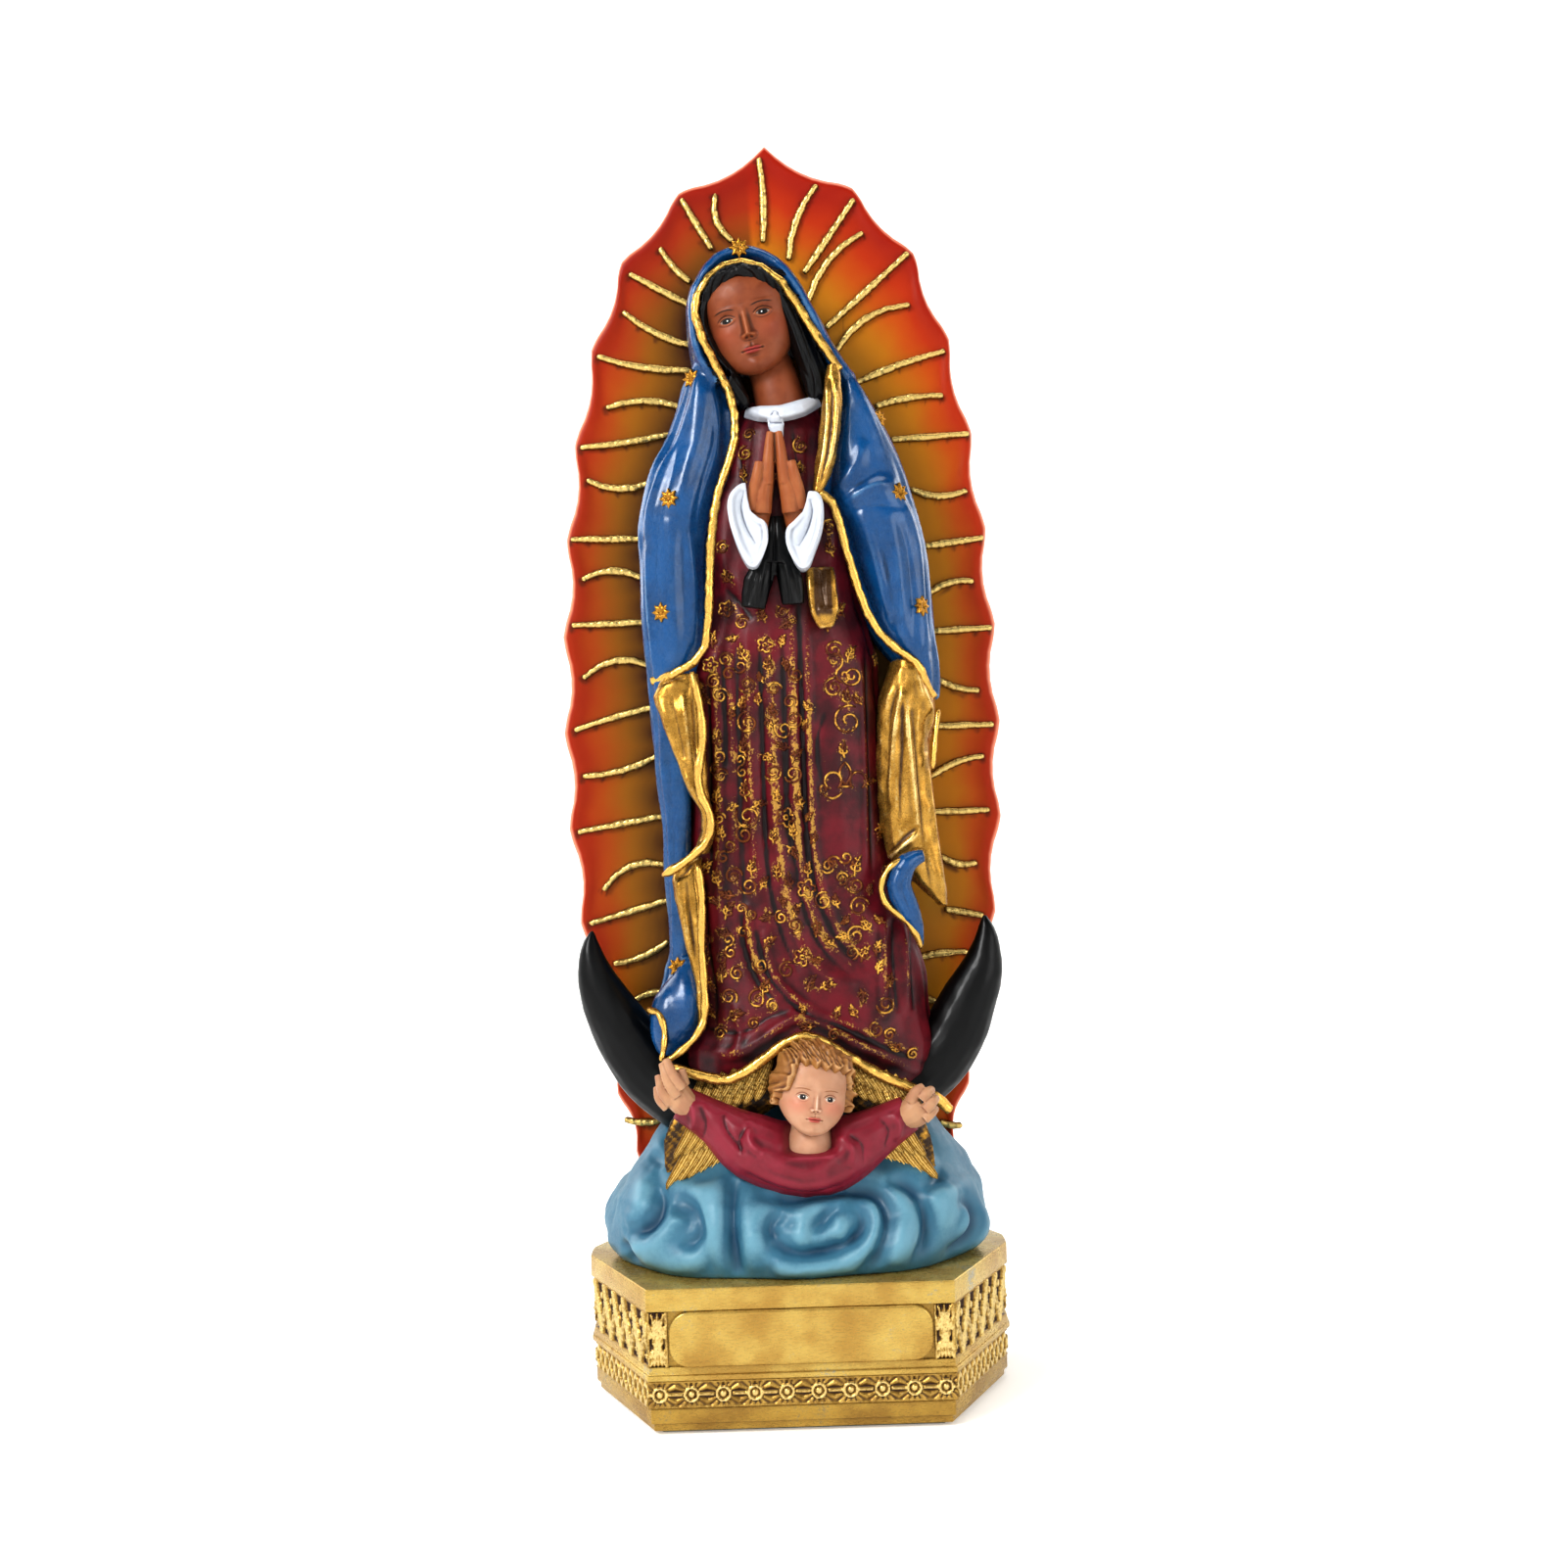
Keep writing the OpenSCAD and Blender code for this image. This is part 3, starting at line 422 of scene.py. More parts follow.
paints = {
    # satin blue acrylic, brushed thick, with pale dry-brushed folds that are also a painted highlight, and
    # painted shade in the creases
    "blueAcrylic": {"base": "0A4D80", "second": "073F6C", "washShade": "03182F", "rubHighlight": "86B6DA", "blotch": 8,
                    "washShadeRange": (-1.1, -0.35), "washShadeShare": 0.8, "rubHighlightRange": (0.4, 1.3), "rubHighlightBreak": 0.2,
                    "rubHighlightShare": 0.5,
                    "rough": (0.22, 0.34), "coat": 0.3, "coatRough": 0.14, "bump": 0.02, "grain": 1.4},
    # gold leaf paint, laid on by brush over brown, which also serves as painted shade in the hollows and on
    # the flanks, with a painted highlight on the front
    "brightGold": {"base": "BC8934", "second": "986C22", "washShade": "3E2106", "rubHighlight": "E8C26C", "blotch": 2.2,
                   "metal": 0.85, "washShadeRange": (-1.0, 0.05), "rubHighlightRange": (0.25, 0.9), "rubHighlightShare": 0.75,
                   "rough": (0.2, 0.38), "bump": 0.05, "grain": 0.9},
    # gold glaze over ochre, patchy, with umber in its hollows that is also painted shade, and a pale painted
    # highlight on its folds
    "liningGold": {"base": "BE9446", "second": "98712C", "washShade": "3A1E06", "rubHighlight": "EAD090", "blotch": 4.4,
                   "metal": 0.75, "washShadeRange": (-0.85, 0.05), "washShadeShare": 0.93, "rubHighlightRange": (0.1, 0.9),
                   "rubHighlightShare": 0.8, "rough": (0.22, 0.36), "bump": 0.06, "grain": 0.7},
    # pale gold, dragged over dark brown so that the brown shows at the flanks as painted shade, and the pale
    # gold on the front as painted highlight
    "rayGold": {"base": "A98338", "second": "7F5F26", "washShade": "2A1404", "rubHighlight": "E2C880", "blotch": 1.4,
                "metal": 0.75, "washShadeRange": (-0.9, 0.25), "washShadeShare": 0.96, "rubHighlightRange": (0.3, 0.9),
                "rubHighlightBreak": 2.0, "rough": (0.24, 0.42), "bump": 0.08, "grain": 0.45},
    # maroon acrylic, with painted shade near black in the creases, and gold dust rubbed over the raised work
    "maroonAcrylic": {"base": "480A14", "second": "690D1D", "washShade": "0F0204", "rubHighlight": "B89048", "blotch": 8,
                      "washShadeRange": (-0.5, 0.08), "washShadeShare": 0.95, "rubHighlightRange": (0.6, 0.92),
                      "rubHighlightBreak": 2.6, "rubHighlightShare": 0.9, "rubMetal": 0.7, "rubNote": "thread",
                      "rubReach": 0.55, "rough": (0.34, 0.5), "coat": 0.04, "bump": 0.05, "grain": 0.55,
                      "specular": 0.3},
    # raised embroidery, gold on its ridge and brown red on its flanks, which is partly painted shade
    "threadGold": {"base": "7A4318", "second": "45150F", "washShade": "1C0507", "rubHighlight": "E0B052", "blotch": 2.6,
                   "metal": 0.4, "rubMetal": 0.8, "washShadeRange": (-0.8, 0.4), "rubHighlightRange": (0.45, 0.95),
                   "rubHighlightBreak": 2.2, "rubPatch": 3.2, "rough": (0.28, 0.45), "bump": 0.03, "grain": 0.5},
    # crimson acrylic with a soft pink dry brush that is also a painted highlight, and painted shade in the
    # folds
    "crimsonAcrylic": {"base": "781829", "second": "861F33", "washShade": "3D0914", "rubHighlight": "B24A5E", "blotch": 8,
                       "washShadeRange": (-0.9, 0), "rubHighlightRange": (0.35, 1.25), "rubHighlightBreak": 0.3, "rubHighlightShare": 0.5,
                       "rough": (0.38, 0.5), "coat": 0.05, "bump": 0.02, "grain": 1.2},
    # sky-blue acrylic with a deeper blue glaze in the folds that is also painted shade, and a pale painted
    # highlight on the rolls
    "cloudAcrylic": {"base": "41748A", "second": "386981", "washShade": "123B58", "rubHighlight": "84B2C0", "blotch": 9,
                     "washShadeRange": (-1.0, 0.2), "washShadeShare": 0.85, "rubHighlightRange": (0.3, 1.1), "rubHighlightBreak": 0.4,
                     "rubHighlightShare": 0.5, "rough": (0.4, 0.52), "coat": 0.08, "bump": 0.02, "grain": 1.0},
    # white acrylic, chalky, with grey-blue painted shade in the hollows and a painted highlight on the raised
    # parts
    "whiteAcrylic": {"base": "CBCFD6", "second": "C0C5CE", "washShade": "4A5066", "rubHighlight": "F6F7FA", "blotch": 4,
                     "washShadeRange": (-1.0, 0.0), "washShadeShare": 0.8, "rubHighlightRange": (0.3, 1.0), "rough": (0.4, 0.55),
                     "coat": 0.05, "bump": 0.015},
    # black enamel with a clear coat, which gives the sharp glints
    "blackEnamel": {"base": "030304", "second": "040506", "washShade": "010102", "rubHighlight": "07080A", "blotch": 9,
                    "rubHighlightRange": (0.4, 1.2), "rubHighlightBreak": 0.3, "rough": (0.3, 0.4), "coat": 0.1,
                    "coatRough": 0.1, "bump": 0.01, "grain": 1.5, "specular": 0.22},
    # black acrylic hair with blue-grey strands, a painted sheen on the raised locks
    "blackHair": {"base": "050506", "second": "070708", "washShade": "010102", "rubHighlight": "1B1C21", "blotch": 3,
                  "rubHighlightRange": (0.3, 1.1), "rubHighlightBreak": 0.4, "rough": (0.34, 0.45), "coat": 0.1,
                  "bump": 0.02, "grain": 0.7, "specular": 0.22},
    # light brown hair with umber between the locks as painted shade, and a pale painted highlight on them
    "brownHair": {"base": "A5763F", "second": "936233", "washShade": "532C14", "rubHighlight": "D0A878", "blotch": 3,
                  "washShadeRange": (-0.7, 0.3), "rubHighlightRange": (0.2, 1.0), "rubHighlightBreak": 0.4, "rubHighlightShare": 0.7,
                  "rough": (0.4, 0.52), "coat": 0.05, "bump": 0.02, "grain": 0.6},
    # old gold on the feathers, over deep brown that shows as painted shade in the gaps
    "featherGold": {"base": "B48A38", "second": "8E6724", "washShade": "2A1403", "rubHighlight": "EBCB7E", "blotch": 2.4,
                    "metal": 0.75, "washShadeRange": (-0.55, 0.25), "washShadeShare": 0.96, "rubHighlightRange": (0.2, 0.85),
                    "rubHighlightBreak": 1.3, "rough": (0.24, 0.4), "bump": 0.06, "grain": 0.5},
    # carved plinth work: pale gold on the faces, also a painted highlight, and red-brown left in the pits,
    # also painted shade
    "carvedGold": {"base": "B08F48", "second": "8E6E32", "washShade": "381A08", "rubHighlight": "E8D090", "blotch": 2.6,
                   "metal": 0.65, "washShadeRange": (-0.62, 0.22), "washShadeShare": 0.98, "rubHighlightRange": (0.5, 1.1),
                   "rubHighlightBreak": 1.2, "rubHighlightShare": 0.85, "rough": (0.26, 0.42), "bump": 0.05, "grain": 0.5},
}


def linedGold(name, base, second, scuff, scuffShare):
    # gold paint brushed level along the plinth, rubbed through to grey in scuffs, darker in patches,
    # with painted shade in its hollows and a painted highlight on its raised edges and specks
    material, tree, surface = newMaterial(name, Metallic=0.55)
    here = add(tree, "TexCoord")
    relief = add(tree, "Attribute", attribute_name="relief", out="Fac")
    drawn = add(tree, "Mapping", {"Vector": here, "Scale": (0.3, 0.3, 1.0)})
    strokes = add(tree, "TexNoise", {"Vector": drawn, "Scale": 1 / (0.55 * mm), "Detail": 5.0,
                                     "Roughness": 0.7})
    patch = add(tree, "TexNoise", {"Vector": here, "Scale": 1 / (11 * mm), "Detail": 3.0})
    speck = add(tree, "TexNoise", {"Vector": here, "Scale": 1 / (0.8 * mm), "Detail": 4.0,
                                   "Roughness": 0.75})
    fine = add(tree, "Math", {0: strokes, 1: 0.25}, operation="MULTIPLY")
    brushed = add(tree, "Math", {0: patch, 1: fine}, operation="ADD")
    brushed = add(tree, "MapRange", {0: brushed, 1: 0.45, 2: 0.8})
    colour = add(tree, "Mix", {0: brushed, 6: tone(second), 7: tone(base)})
    specks = add(tree, "Math", {0: speck, 1: 0.6}, operation="MULTIPLY")
    patches = add(tree, "Math", {0: patch, 1: 0.6}, operation="MULTIPLY")
    scuffed = add(tree, "Math", {0: specks, 1: patches}, operation="ADD")
    worn = add(tree, "MapRange", {0: scuffed, 1: 0.7, 2: 0.78, 4: scuffShare})
    colour = add(tree, "Mix", {0: worn, 6: colour, 7: tone(scuff)})
    # darker brown in random patches, and painted shade in the hollows of the relief
    hollow = add(tree, "Math", {0: patch, 1: 0.5}, operation="SUBTRACT")
    hollow = add(tree, "Math", {0: relief, 1: hollow}, operation="ADD")
    hollow = add(tree, "MapRange", {0: hollow, 1: -0.7, 2: -0.1, 3: 0.85, 4: 0})
    colour = add(tree, "Mix", {0: hollow, 6: colour, 7: tone("6A4312")})
    # painted highlight on raised edges and on bright specks
    edge = add(tree, "Math", {0: relief, 1: speck}, operation="ADD")
    edge = add(tree, "MapRange", {0: edge, 1: 0.75, 2: 1.15, 4: 0.6})
    colour = add(tree, "Mix", {0: edge, 6: colour, 7: tone("F6E6B4")})
    tree.links.new(colour, surface.inputs["Base Color"])
    tree.links.new(add(tree, "MapRange", {0: strokes, 1: 0.25, 2: 0.75, 3: 0.25, 4: 0.31}),
                   surface.inputs["Roughness"])
    bump = add(tree, "Bump", {"Height": strokes, "Distance": 0.03 * mm, "Strength": 0.06})
    tree.links.new(bump, surface.inputs["Normal"])
    return material


def sprayedPanel():
    # resin sprayed in three coats: ochre round the figure, orange, and red towards the scallops
    material, tree, surface = newMaterial("sprayed_orange_lacquer", **{"Coat Weight": 0.06,
                                                                      "Coat Roughness": 0.3,
                                                                      "Specular IOR Level": 0.15})
    here = add(tree, "TexCoord")
    outward = add(tree, "Attribute", attribute_name="outward", out="Fac")
    shade = add(tree, "Attribute", attribute_name="shade", out="Fac")
    rayGap = add(tree, "Attribute", attribute_name="rayGap", out="Fac")
    edge = add(tree, "Attribute", attribute_name="edgeGap", out="Fac")
    cloudy = add(tree, "TexNoise", {"Vector": here, "Scale": 1 / (9 * mm), "Detail": 3.0})
    grain = add(tree, "TexNoise", {"Vector": here, "Scale": 1 / (0.7 * mm), "Detail": 2.0})
    wander = add(tree, "Math", {0: cloudy, 1: 0.5}, operation="SUBTRACT")
    wander = add(tree, "Math", {0: wander, 1: 0.16}, operation="MULTIPLY")
    wander = add(tree, "Math", {0: outward, 1: wander}, operation="ADD")
    sprayed = add(tree, "ValToRGB", {"Fac": wander},
                  stops=[(0.0, tone("AE7A18")), (0.3, tone("B8760E")), (0.56, tone("B65209")),
                         (0.76, tone("AC3408")), (1.0, tone("961D05"))])
    # painted shadow of the figure, strongest on its left, partly the panel's own dark airbrushing
    shade = add(tree, "Math", {0: shade, 1: 0.95}, operation="MULTIPLY")
    dark = add(tree, "Mix", {0: shade, 6: sprayed, 7: tone("3A1805")})
    # painted drop shadow beside each ray
    rayShadow = add(tree, "MapRange", {0: rayGap, 1: 0.1, 2: 1.3, 3: 0.75, 4: 0})
    colour = add(tree, "Mix", {0: rayShadow, 6: dark, 7: tone("4A1E06")})
    # painted highlight along the rounded rim
    rimHighlight = add(tree, "MapRange", {0: edge, 1: 0.3, 2: 1.3, 3: 0.8, 4: 0})
    colour = add(tree, "Mix", {0: rimHighlight, 6: colour, 7: tone("E89A7C")})
    tree.links.new(colour, surface.inputs["Base Color"])
    tree.links.new(add(tree, "MapRange", {0: grain, 1: 0.3, 2: 0.7, 3: 0.36, 4: 0.48}),
                   surface.inputs["Roughness"])
    bump = add(tree, "Bump", {"Height": grain, "Distance": 0.02 * mm, "Strength": 0.6})
    tree.links.new(bump, surface.inputs["Normal"])
    return material


def feltCloth():
    # pressed wool felt: matt, with short crossed fibres
    material, tree, surface = newMaterial("wool_felt", Roughness=0.95, **{"Sheen Weight": 0.3})
    here = add(tree, "TexCoord")
    fibre = add(tree, "TexNoise", {"Vector": here, "Scale": 1 / (0.35 * mm), "Detail": 6.0,
                                   "Distortion": 1.5})
    tree.links.new(add(tree, "Mix", {0: fibre, 6: tone("1C3326"), 7: tone("35523F")}),
                   surface.inputs["Base Color"])
    bump = add(tree, "Bump", {"Height": fibre, "Distance": 0.12 * mm, "Strength": 0.8})
    tree.links.new(bump, surface.inputs["Normal"])
    return material


def drawnSteel():
    # bright drawn steel with fine lengthwise marks
    material, tree, surface = newMaterial("drawn_steel", Metallic=1.0)
    here = add(tree, "TexCoord")
    marks = add(tree, "TexNoise", {"Vector": add(tree, "Mapping", {"Vector": here, "Scale": (1, 1, 0.1)}),
                                   "Scale": 1 / (0.2 * mm), "Detail": 3.0})
    tree.links.new(add(tree, "Mix", {0: marks, 6: tone("8D9094"), 7: tone("B9BCC0")}),
                   surface.inputs["Base Color"])
    tree.links.new(add(tree, "MapRange", {0: marks, 1: 0.2, 2: 0.8, 3: 0.25, 4: 0.4}),
                   surface.inputs["Roughness"])
    return material


def paintedSkin(name, look):
    # matt flesh acrylic; lips, cheeks, eyes and brows are painted at their places on the head
    material, tree, surface = newMaterial(name, **{"Subsurface Weight": 0.08, "Subsurface Scale": 0.8 * mm,
                                                   "Coat Weight": 0.04, "Coat Roughness": 0.35,
                                                   "Specular IOR Level": 0.28})
    here = add(tree, "TexCoord")
    at = add(tree, "Attribute", attribute_name="faceAt", out="Vector")
    both = add(tree, "VectorMath", {0: at}, operation="ABSOLUTE")
    relief = add(tree, "Attribute", attribute_name="relief", out="Fac")
    blotch = add(tree, "TexNoise", {"Vector": here, "Scale": 1 / (4 * mm), "Detail": 3.0})
    grain = add(tree, "TexNoise", {"Vector": here, "Scale": 1 / (0.7 * mm), "Detail": 2.0})

    def patch(centre, size, soft, where=both):  # 1 inside an oval and 0 outside it
        off = add(tree, "VectorMath", {0: where, 1: (*centre, 0)}, operation="SUBTRACT")
        scaled = add(tree, "VectorMath", {0: off, 1: (1 / size[0], 1 / size[1], 0)}, operation="MULTIPLY")
        away = add(tree, "VectorMath", {0: scaled}, operation="LENGTH", out="Value")
        return add(tree, "MapRange", {0: away, 1: 1 + soft, 2: 1 - soft})

    uneven = add(tree, "MapRange", {0: blotch, 1: 0.35, 2: 0.65})
    colour = add(tree, "Mix", {0: uneven, 6: tone(look["base"]), 7: tone(look["second"])})
    hollow = add(tree, "MapRange", {0: relief, 1: -0.9, 2: -0.05, 3: 0.8, 4: 0})
    raised = add(tree, "MapRange", {0: relief, 1: 0.25, 2: 1.1, 4: 0.55})
    # painted shade in the hollows and painted highlight on the raised parts
    coats = [([hollow], look["washShade"]), ([raised], look["light"])]  # factors of its share, and the paint
    if "face" in look:
        f = look["face"]
        ex, ez = f["eye"]
        lidRound, lidOpen = f["lidRound"], f["lidOpen"]
        upper = patch((ex, ez + lidOpen / 2 - lidRound), (lidRound, lidRound), 0.02)
        lower = patch((ex, ez - lidOpen / 2 + lidRound), (lidRound, lidRound), 0.02)
        gap = add(tree, "Math", {0: upper, 1: lower}, operation="MULTIPLY")  # between the lids
        gaze = (ex, ez + f["gaze"])
        within = patch((ex, ez + lidOpen * 0.9), (f["lidWide"], lidOpen * 1.1), 0.15)
        outer = patch((ex, ez + lidOpen / 2 - lidRound + 0.005), (lidRound + 0.0045,) * 2, 0.015)
        lash = add(tree, "Math", {0: outer, 1: upper}, operation="SUBTRACT")
        browAt = (ex + 0.004, f["brow"] - 0.16)
        browOut, browIn = patch(browAt, (0.2, 0.168), 0.02), patch(browAt, (0.2, 0.155), 0.02)
        browSpan = patch((ex + 0.004, f["brow"] - 0.004), (0.088, 0.03), 0.3)
        brow = add(tree, "Math", {0: browOut, 1: browIn}, operation="SUBTRACT")
        coats += [
            ([patch((ex + 0.05, f["nose"] + 0.055), (0.12, 0.085), 0.9), f["blush"]], look["blush"]),
            ([patch((0.026, f["mouth"] + 0.011), (0.05, 0.013), 0.25), 0.85], look["lips"]),
            ([patch((0.0, f["mouth"] - 0.013), (0.064, 0.0165), 0.25), 0.85], look["lips"]),
            ([patch((0, f["mouth"]), (0.08, 0.0035), 0.5), 0.85], look["line"]),
            ([patch((0.022, f["nose"] + 0.004), (0.012, 0.006), 0.4), 0.7], look["line"]),
            ([gap], look["white"]),
            ([gap, patch(gaze, (f["iris"], f["iris"]), 0.12)], look["iris"]),
            ([gap, patch(gaze, (f["iris"] * 0.5,) * 2, 0.2)], "060404"),
            # a painted white glint in each eye
            ([gap, patch((gaze[0] - 0.008, gaze[1] + 0.008), (0.006, 0.006), 0.3)], "FFFFFF"),
            ([lash, within, 0.9], look["lash"]),
            ([brow, browSpan, 0.95], look["brows"]),
        ]
    for (share, *factors), paint in coats:  # laid one over the other
        for factor in factors:
            share = add(tree, "Math", {0: share, 1: factor}, operation="MULTIPLY")
        colour = add(tree, "Mix", {0: share, 6: colour, 7: tone(paint)})
    tree.links.new(colour, surface.inputs["Base Color"])
    tree.links.new(add(tree, "MapRange", {0: grain, 1: 0.3, 2: 0.7, 3: 0.38, 4: 0.5}),
                   surface.inputs["Roughness"])
    bump = add(tree, "Bump", {"Height": grain, "Distance": 0.01 * mm, "Strength": 0.5})
    tree.links.new(bump, surface.inputs["Normal"])
    return material


finish = {name: castFinish(name, look) for name, look in paints.items()}
finish["sprayedPanel"] = sprayedPanel()
finish["plinthGold"] = linedGold("brushed_gold_paint", "C2A75C", "AA8842", "8F918A", 0.8)
finish["plinthFoot"] = linedGold("dulled_gold_paint", "AE8E42", "937232", "6E6A5A", 0.6)
finish["felt"] = feltCloth()
finish["steel"] = drawnSteel()
print("materials made")

# camera, light and floor

camera = {"place": (0, -0.46, 0.1344), "up": 0.917, "roll": -1.8, "lens": 44.15}
lamps = {  # place, size and power of each softbox
    "key": ((-0.55, -0.6, 0.7), 0.35, 8.0),
    "fill": ((0.8, -0.65, 0.4), 0.5, 2.0),
    "top": ((0.1, 0.05, 1.0), 0.5, 3.0),
    "rearLeft": ((-0.7, 0.5, 0.5), 0.5, 2.6),
    "rearRight": ((0.7, 0.55, 0.5), 0.5, 2.0),
}


def setCamera():
    lens = bpy.data.cameras.new("Camera")
    lens.lens = camera["lens"]
    lens.clip_start = 0.01
    eye = bpy.data.objects.new("Camera", lens)
    tilt = Matrix.Rotation(math.radians(90 + camera["up"]), 4, "X")
    eye.matrix_world = (Matrix.Translation(camera["place"]) @ tilt
                        @ Matrix.Rotation(math.radians(camera["roll"]), 4, "Z"))
    bpy.context.scene.collection.objects.link(eye)
    bpy.context.scene.camera = eye


def setLamps():
    for name, (place, size, power) in lamps.items():
        lamp = bpy.data.lights.new(name, "AREA")
        lamp.size = size
        lamp.energy = power
        holder = bpy.data.objects.new(name, lamp)
        holder.location = place
        holder.rotation_euler = (Vector((0, 0, 0.14)) - Vector(place)).to_track_quat("-Z", "Y").to_euler()
        bpy.context.scene.collection.objects.link(holder)
    world = bpy.data.worlds.new("Studio")
    world.use_nodes = True
    world.node_tree.nodes["Background"].inputs[0].default_value = (1, 1, 1, 1)
    world.node_tree.nodes["Background"].inputs[1].default_value = 0.06
    bpy.context.scene.world = world
    bpy.context.scene.view_settings.view_transform = "Standard"
    bpy.context.scene.view_settings.gamma = 0.82


def setFloor():  # a round pale sweep, flat under the object and rising into a wall all round
    profile = [(900, 0)] + [(900 + 500 * math.sin(a), 500 - 500 * math.cos(a))
                            for a in np.radians(range(10, 91, 10))] + [(1400, 1120)]
    turns = np.radians(np.arange(0, 360, 3.75))
    rings = [np.stack([r * np.cos(turns), r * np.sin(turns), np.full(len(turns), z)], 1)
             for r, z in [(1, 0)] + profile]
    places, faces = lofted(rings, capped=False)
    faces.append(tuple(range(len(turns) - 1, -1, -1)))
    floor = fromData("studio_floor", places, [face[::-1] for face in faces])
    floor.data.shade_smooth()
    material, tree, surface = newMaterial("matt_white_paper", Roughness=0.9,
                                         **{"Emission Color": (1, 1, 1, 1), "Emission Strength": 0.3})
    here = add(tree, "TexCoord")
    fibre = add(tree, "TexNoise", {"Vector": here, "Scale": 40.0, "Detail": 2.0})
    tree.links.new(add(tree, "Mix", {0: fibre, 6: tone("F4F4F3"), 7: tone("F8F8F7")}),
                   surface.inputs["Base Color"])
    floor.data.materials.append(material)


setCamera()
setLamps()
setFloor()
print("camera, lamps and floor set")

# sunburst panel

figureNodes = ["gown", "mantle_left_side", "mantle_right_side", "mantle_hood", "lining_right",
               "lining_left_upper", "mantle_left_corner"]
panel = {"middle": (0, 165), "around": 620, "rim": 1.3, "swell": 0.5}


def nearestGap(flat, target):  # gap from each flat point to the nearest target point
    tree = KDTree(len(target))
    for i, (x, z) in enumerate(target):
        tree.insert((x, 0, z), i)
    tree.balance()
    return np.array([tree.find((x, 0, z))[2] for x, z in flat])


def makePanel():
    cad = spots(castOf("outline_guide", "sunburst_panel"))
    bpy.data.objects.remove(bpy.data.objects["outline_guide"])
    low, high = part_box("sunburst_panel")
    front, back = low.y / mm, high.y / mm
    cx, cz = panel["middle"]
    turn = np.arctan2(cad[:, 2] - cz, cad[:, 0] - cx)
    reach = np.hypot(cad[:, 0] - cx, cad[:, 2] - cz)
    edge = np.abs(cad[:, 1] - (front + panel["rim"])) < 0.05
    order = np.argsort(turn[edge])
    turns = -math.pi + 2 * math.pi * np.arange(panel["around"]) / panel["around"]
    outer = np.interp(turns, turn[edge][order], reach[edge][order], period=2 * math.pi)
    corner = panel["rim"]
    rings, edgeGaps = [(outer, np.full(len(turns), front + corner + 1.2))], [1.3]
    gaps = [0, 0.12, 0.4, 0.8, 1.3, 2.0, 2.8, 3.8, 5, 6.4, 8, 9.8, 11.8, 14, 16.5, 19, 22, 25, 28.5, 32]
    shares = np.linspace(0.655, 0.03, 62)
    # front: from the edge inwards
    for gap in gaps:
        depth = corner - math.sqrt(max(corner ** 2 - (corner - min(gap, corner)) ** 2, 0))
        swell = panel["swell"] * math.exp(-((gap - 2.2) / 2.2) ** 2)
        rings.append((outer - gap, np.full(len(turns), front + depth - swell + panel["swell"] * 0.4)))
        edgeGaps.append(gap)
    base = outer - gaps[-1]
    for share in shares:
        rings.append((base * share / 0.66, np.full(len(turns), front + panel["swell"] * 0.4)))
        edgeGaps.append(40)
    frontRings = rings[::-1]
    backRings = []
    backGaps = [0, 0.25, 0.8, 1.3, 3, 5, 8, 12, 17, 24]
    for gap in backGaps:
        depth = corner - math.sqrt(max(corner ** 2 - (corner - min(gap, corner)) ** 2, 0))
        backRings.append((outer - gap, np.full(len(turns), back - depth)))
    for share in np.linspace(0.9, 0.04, 14):
        backRings.append(((outer - backGaps[-1]) * share, np.full(len(turns), back)))
    backGaps += [30] * 14
    walls = [np.stack([cx + r * np.cos(turns), y, cz + r * np.sin(turns)], 1)
             for r, y in frontRings + backRings]
    places, faces = lofted(walls)
    obj = fromData("sunburst_shell", places, faces)
    outwards(obj)
    obj.data.shade_smooth()
    figure = np.concatenate([spots(nodes[name])[:, [0, 2]] for name in figureNodes])
    rays = spots(nodes["sunburst_rays"])[:, [0, 2]]
    flat = places[:, [0, 2]]
    toFigure = nearestGap(flat, throughGrid(figure, 0.8))
    edgeGap = np.concatenate([np.full(len(turns), g) for g in edgeGaps[::-1] + backGaps])
    isFront = places[:, 1] < front + corner + 0.2
    # gap to the rays measured from shifted points, for their painted drop shadow
    toRays = np.where(isFront, nearestGap(flat + [0.25, 0.55], throughGrid(rays, 0.25)), 20)
    note(obj, "edgeGap", np.where(isFront, edgeGap, np.maximum(edgeGap, 1.3)))
    share = toFigure / (toFigure + np.where(isFront, edgeGap, 6) + 2.0)
    crown = eased(235, 290, places[:, 2]) * 0.22
    plain = 0.62 + 0.38 * eased(16, 1, edgeGap) + 0.06 * eased(235, 290, places[:, 2])
    note(obj, "outward", np.clip(np.where(isFront, share + crown, plain), 0, 1))
    # painted shadow of the figure on the panel, strong on its left side
    leftShade = np.exp(-np.maximum(toFigure - 0.8, 0) / 10) * np.where(places[:, 0] < -4, 1.1, 0.1)
    note(obj, "shade", np.where(isFront, leftShade, 0))
    note(obj, "rayGap", toRays)
    show(obj, "sunburst_orange", finish["sprayedPanel"], "sunburst_panel")


def throughGrid(flat, step):  # one point for each cell that the points touch
    cells = np.unique(np.round(flat / step).astype(int), axis=0)
    return cells * step


def makeRays():
    obj = sculpted("sunburst_ray_bars", ["sunburst_rays"], 0.34, 2)
    places, out = spots(obj), facing(obj)
    front = eased(0, 0.5, -out[:, 1])
    bumps = 0.1 * ripple(places, 1.8, 3) + 0.07 * ripple(places, 0.9, 4)
    moveTo(obj, places + out * (bumps * front + 0.28 * eased(-0.3, 0.2, -out[:, 1]))[:, None])
    noteFront(obj, 0.1, 0.7)
    show(obj, "ray_gold", finish["rayGold"], "sunburst_rays")


makePanel()
makeRays()
print("sunburst made")

# gown

